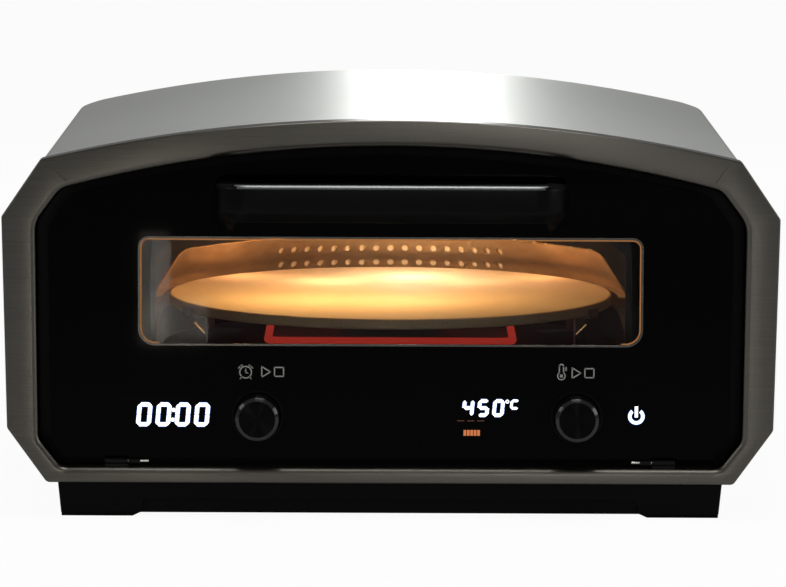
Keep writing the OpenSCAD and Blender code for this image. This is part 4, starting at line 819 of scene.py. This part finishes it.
def arc_band(x, z, r, width, start, end, steps=32):
    """Quads of a curved band between two angles in degrees, from one radius to another."""
    a = np.radians(np.linspace(start, end, steps))
    d = np.stack([np.cos(a), np.sin(a)], -1)
    inner, outer = (r - width / 2) * d + [x, z], (r + width / 2) * d + [x, z]
    return [np.array([inner[k], outer[k], outer[k + 1], inner[k + 1]]) for k in range(steps - 1)]


def above_knobs(mm):
    """A height given from the knobs' axis."""
    return KNOB_Z + mm


def bar(left, low, width, height):
    """An upright rectangle from its lower left corner."""
    right, top = left + width, low + height
    return np.array([(left, low), (right, low), (right, top), (left, top)])


def fringe(name, shapes):
    """The dim blue light round a lit figure, a little behind its face."""
    prism(name, shapes, FRINGE_NEAR, MARK_FAR, "door", blue_fringe)


def figures(name, shapes):
    """Bright figures of a display."""
    prism(name, shapes, MARK_NEAR, MARK_FAR, "door", digit_light)


# Each display's figures: left edge, low edge, width, height, stroke and pitch
timer_digits = (-163.9, above_knobs(-7.1), 9.5, 15.5, 2.6, 12.4)
heat_digits = (46.0, above_knobs(-0.1), 7.4, 11.5, 2.25, 9.75)
heat_letter = (77.0, heat_digits[1] + 4.8, 5.8, 6.6, 1.7, 9)
COLON_R, COLON = 1.3, ((-140.2, 4.4), (-139.5, 10.7))
DEGREE_X, DEGREE_UP, DEGREE_R, DEGREE_LINE = 75.4, 10.0, 0.85, 0.8
fringe("timer_fringe", seven_segments("0000", *timer_digits, FRINGE))
figures("timer_figures", seven_segments("0000", *timer_digits)
        + [disc(x, timer_digits[1] + up, COLON_R) for x, up in COLON])
fringe("heat_fringe", seven_segments("450", *heat_digits, FRINGE)
       + seven_segments("C", *heat_letter, FRINGE - 0.1))
figures("heat_figures", seven_segments("450", *heat_digits) + seven_segments("C", *heat_letter)
        + arc_band(DEGREE_X, heat_digits[1] + DEGREE_UP, DEGREE_R, DEGREE_LINE, 0, 360, 17))

# Power sign: an open ring and an upright bar
POWER_X, POWER_Z, POWER_R, POWER_LINE = 158.6, above_knobs(0.6), 4.2, 2.1
POWER_GAP = (128, 412)  # where the ring starts and ends, in degrees
fringe("power_fringe", arc_band(POWER_X, POWER_Z, POWER_R, POWER_LINE + 2 * FRINGE,
                                POWER_GAP[0] - 2, POWER_GAP[1] + 2, 41))
figures("power_mark", arc_band(POWER_X, POWER_Z, POWER_R, POWER_LINE, *POWER_GAP, 41)
        + [bar(POWER_X - POWER_LINE / 2, POWER_Z - 0.6, POWER_LINE, 7.1)])

# Small orange lamps under the heat display: five blocks and three dim dashes
BLOCK_X, BLOCK_PITCH, BLOCK_W, BLOCK_H = 47.3, 2.2, 1.75, 3.7
prism("ready_bars", [bar(x, above_knobs(-12.4), BLOCK_W, BLOCK_H)
                     for x in BLOCK_X + BLOCK_PITCH * np.arange(5)],
      MARK_NEAR, MARK_FAR, "door", pilot_orange)
DASH_X, DASH_W, DASH_H = (43.2, 49.6, 56.0), 4.6, 0.6
prism("step_dashes", [bar(x, above_knobs(-3.0), DASH_W, DASH_H) for x in DASH_X],
      MARK_NEAR, MARK_FAR, "door", faint_orange)

# Printed signs over the knobs: an alarm clock, a thermometer, and play and stop
LINE = 0.8
CLOCK_X, CLOCK_Z, CLOCK_R = TIMER_X - 7.8, above_knobs(28.3), 3.75
clock = arc_band(CLOCK_X, CLOCK_Z, CLOCK_R, LINE, 0, 360, 49)
clock += stroke_path([(CLOCK_X, CLOCK_Z + 2.0), (CLOCK_X, CLOCK_Z - 0.2),
                      (CLOCK_X + 1.5, CLOCK_Z - 0.6)], LINE)
for s in (-1, 1):
    clock += stroke_path([(CLOCK_X + s * 4.4, CLOCK_Z + 2.7), (CLOCK_X + s * 3.4, CLOCK_Z + 3.9),
                          (CLOCK_X + s * 2.3, CLOCK_Z + 4.6)], 1.0)
    clock += stroke_path([(CLOCK_X + s * 2.6, CLOCK_Z - 2.9), (CLOCK_X + s * 3.5, CLOCK_Z - 4.2)],
                         LINE)
THERMO_X, THERMO_Z = HEAT_X - 9.9, above_knobs(26.7)
BULB_R, STEM_R, STEM_H = 2.4, 1.35, 6.2
thermo = arc_band(THERMO_X, THERMO_Z, BULB_R, LINE, -235, 55, 37)
thermo += [disc(THERMO_X, THERMO_Z, 1.1)]
thermo += arc_band(THERMO_X, THERMO_Z + STEM_H, STEM_R, LINE, 0, 180, 17)
for s in (-1, 1):
    thermo += stroke_path([(THERMO_X + s * STEM_R, THERMO_Z + STEM_H),
                           (THERMO_X + s * STEM_R, THERMO_Z + 2.0)], LINE)
thermo += stroke_path([(THERMO_X + 3.0, THERMO_Z + 5.6), (THERMO_X + 3.0, THERMO_Z + 3.6)], 0.9)
prism("printed_icons", clock + thermo, MARK_NEAR, MARK_FAR, "door", grey_ink)
play_stop = []
PLAY_W, PLAY_H, STOP_X, STOP_W = 5.6, 6.8, 8.2, 5.8
for x in (TIMER_X + 2.6, HEAT_X - 3.0):
    low = above_knobs(25.2)
    play_stop += stroke_path([(x, low), (x + PLAY_W, low + PLAY_H / 2), (x, low + PLAY_H),
                              (x, low)], LINE)
    square = bar(x + STOP_X, low + (PLAY_H - STOP_W) / 2, STOP_W, STOP_W)
    play_stop += stroke_path([*square, square[0]], LINE)
prism("start_stop_marks", play_stop, MARK_NEAR, MARK_FAR, "door", grey_ink)

# ---- floor, world, lights and camera ----
FLOOR_WHITE = 0.95  # how white the floor is to the camera, shadow or not
FLOOR_HALF = 6000.0


def floor_material():
    """Pale matt studio floor: white to the camera, and keeps the object's soft shadow."""
    material, tree = empty_material("studio_floor")
    path = put(tree, "LightPath")
    diffuse = put(tree, "BsdfDiffuse", {"Color": colour("#e6e6e6")})
    white = put(tree, "Emission", {"Color": (1, 1, 1, 1), "Strength": 1.0})
    share = put(tree, "Math", {0: path.outputs["Is Camera Ray"], 1: FLOOR_WHITE},
                operation="MULTIPLY")
    mix = put(tree, "MixShader", {0: share.outputs[0], 1: diffuse.outputs[0],
                                  2: white.outputs[0]})
    put(tree, "OutputMaterial", {"Surface": mix.outputs[0]})
    return material


mesh = bpy.data.meshes.new("studio_floor")
mesh.from_pydata([(sx * FLOOR_HALF * MM, sy * FLOOR_HALF * MM, 0) for sx, sy in
                  ((-1, -1), (1, -1), (1, 1), (-1, 1))], [], [(0, 1, 2, 3)])
floor = bpy.data.objects.new("studio_floor", mesh)
scene.collection.objects.link(floor)
mesh.materials.append(floor_material())

# White to the camera and through glass, but not to rays that matt surfaces have scattered
world = bpy.data.worlds.new("studio")
scene.world = world
world.use_nodes = True
tree = world.node_tree
tree.nodes.clear()
ROOM_LIGHT, ROOM_GLOSS = 0.35, 0.30  # what the room sends to matt and to shiny surfaces
path = put(tree, "LightPath")
seen = put(tree, "Math", {0: path.outputs["Is Camera Ray"], 1: path.outputs["Is Transmission Ray"]},
           operation="MAXIMUM")
scattered = put(tree, "Math", {0: path.outputs["Diffuse Depth"], 1: 1.0}, operation="MINIMUM")
seen = put(tree, "Math", {0: seen.outputs[0], 1: scattered.outputs[0]}, operation="SUBTRACT",
           use_clamp=True)
shine = put(tree, "MapRange", {"Value": path.outputs["Is Glossy Ray"], "To Min": ROOM_LIGHT,
                               "To Max": ROOM_GLOSS})
level = put(tree, "MapRange", {"Value": seen.outputs[0], "To Min": shine.outputs["Result"],
                               "To Max": 1.0})
background = put(tree, "Background", {"Color": (1, 1, 1, 1), "Strength": level.outputs["Result"]})
put(tree, "OutputWorld", {"Surface": background.outputs[0]})


def soft_light(name, place_mm, aim_mm, size_mm, power, tint="#ffffff"):
    """A soft box: a rectangle of light in watts that faces a point and doesn't show to the
    camera."""
    light = bpy.data.lights.new(name, "AREA")
    light.shape = "RECTANGLE"
    light.size, light.size_y = size_mm[0] * MM, size_mm[1] * MM
    light.energy = power
    light.color = colour(tint)[:3]
    lamp = bpy.data.objects.new(name, light)
    place_m, aim_m = np.array(place_mm) * MM, np.array(aim_mm) * MM
    back = unit(place_m - aim_m)
    side = unit(np.cross([0, 1, 0.001], back))
    up = np.cross(back, side)
    turn = np.stack([side, up, back], -1)
    lamp.matrix_world = Matrix([(*row, p) for row, p in zip(turn, place_m)] + [(0, 0, 0, 1)])
    lamp.visible_camera = False
    scene.collection.objects.link(lamp)


# Broad light from above and both sides, then a strip behind for the band of light on the roof, a
# low box for the frame's sheen, and two small cards that the glass mirrors beside the window
soft_light("top_box", (60, -300, 1250), (40, -240, 0), (560, 600), 7.6)
soft_light("left_box", (-1700, -900, 1100), (0, 0, 120), (600, 900), 5)
soft_light("right_box", (1900, -900, 700), (0, 0, 120), (700, 1000), 8)
soft_light("back_box", (70, 2300, 1000), (20, 0, 200), (230, 900), 5.5)
soft_light("front_box", (150, -2500, 560), (60, -200, 100), (160, 260), 2.2)
soft_light("reflector_card", (-180, -800, 80), (-180, -208, 120), (22, 84), 0.035, "#fff6ea")
soft_light("reflector_low", (-164, -802, 52), (-164, -208, 130), (50, 32), 0.02, "#fff6ea")


def chamber_glow(name, place_mm, radius, power, tint):
    """A small warm lamp inside the baking chamber."""
    light = bpy.data.lights.new(name, "POINT")
    light.energy = power
    light.shadow_soft_size = radius * MM
    light.color = colour(tint)[:3]
    lamp = bpy.data.objects.new(name, light)
    lamp.location = [c * MM for c in place_mm]
    lamp.visible_camera = False
    lamp.visible_transmission = False
    scene.collection.objects.link(lamp)


# The lamp at the back gives the bright middle; fills stand for light that the hood sends back
chamber_glow("chamber_lamp", (14, STONE_Y + 94, STONE_TOP + 33), 10, 0.30, "#fff0e4")
chamber_glow("chamber_lamp_left", (-46, STONE_Y + 62, STONE_TOP + 34), 10, 0.11, "#ffdcb4")
chamber_glow("chamber_lamp_right", (58, STONE_Y + 62, STONE_TOP + 33), 10, 0.04, "#ffdcb4")
chamber_glow("chamber_fill_left", (-68, STONE_Y - 48, STONE_TOP + 60), 14, 0.36, "#ffca84")
chamber_glow("chamber_fill_front", (8, STONE_Y - 52, STONE_TOP + 61), 14, 0.32, "#ffcf8c")
chamber_glow("chamber_fill_right", (78, STONE_Y - 40, STONE_TOP + 58), 14, 0.06, "#ffca80")
for side in (-1, 1):
    chamber_glow("wall_glow_%d" % (side + 1), (side * 106, STONE_Y + 92, STONE_TOP + 26), 8, 0.05,
                 "#ffc898")

# Where the photograph was taken from: place, turns in radians, and the lens in its own pixels
CAMERA_PLACE = (-1.4, -3396.8, 531.8)
PITCH, YAW, ROLL = 0.1200, -0.0009, 0.0043
FOCAL_PIXELS, IMAGE_WIDTH = 5000.0, 786.0
forward = np.array([-math.sin(YAW) * math.cos(PITCH), math.cos(YAW) * math.cos(PITCH),
                    -math.sin(PITCH)])
right = unit(np.cross(forward, [0, 0, 1]))
up = np.cross(right, forward)
right, up = (math.cos(ROLL) * right + math.sin(ROLL) * up,
             -math.sin(ROLL) * right + math.cos(ROLL) * up)
camera_data = bpy.data.cameras.new("camera")
camera_data.sensor_width = 36.0
camera_data.lens = FOCAL_PIXELS / IMAGE_WIDTH * camera_data.sensor_width
camera_data.clip_end = 100.0
camera = bpy.data.objects.new("camera", camera_data)
camera.matrix_world = Matrix([(*row, p * MM) for row, p in
                              zip(np.stack([right, up, -forward], -1), CAMERA_PLACE)]
                             + [(0, 0, 0, 1)])
scene.collection.objects.link(camera)
scene.camera = camera
scene.view_settings.view_transform = "Standard"
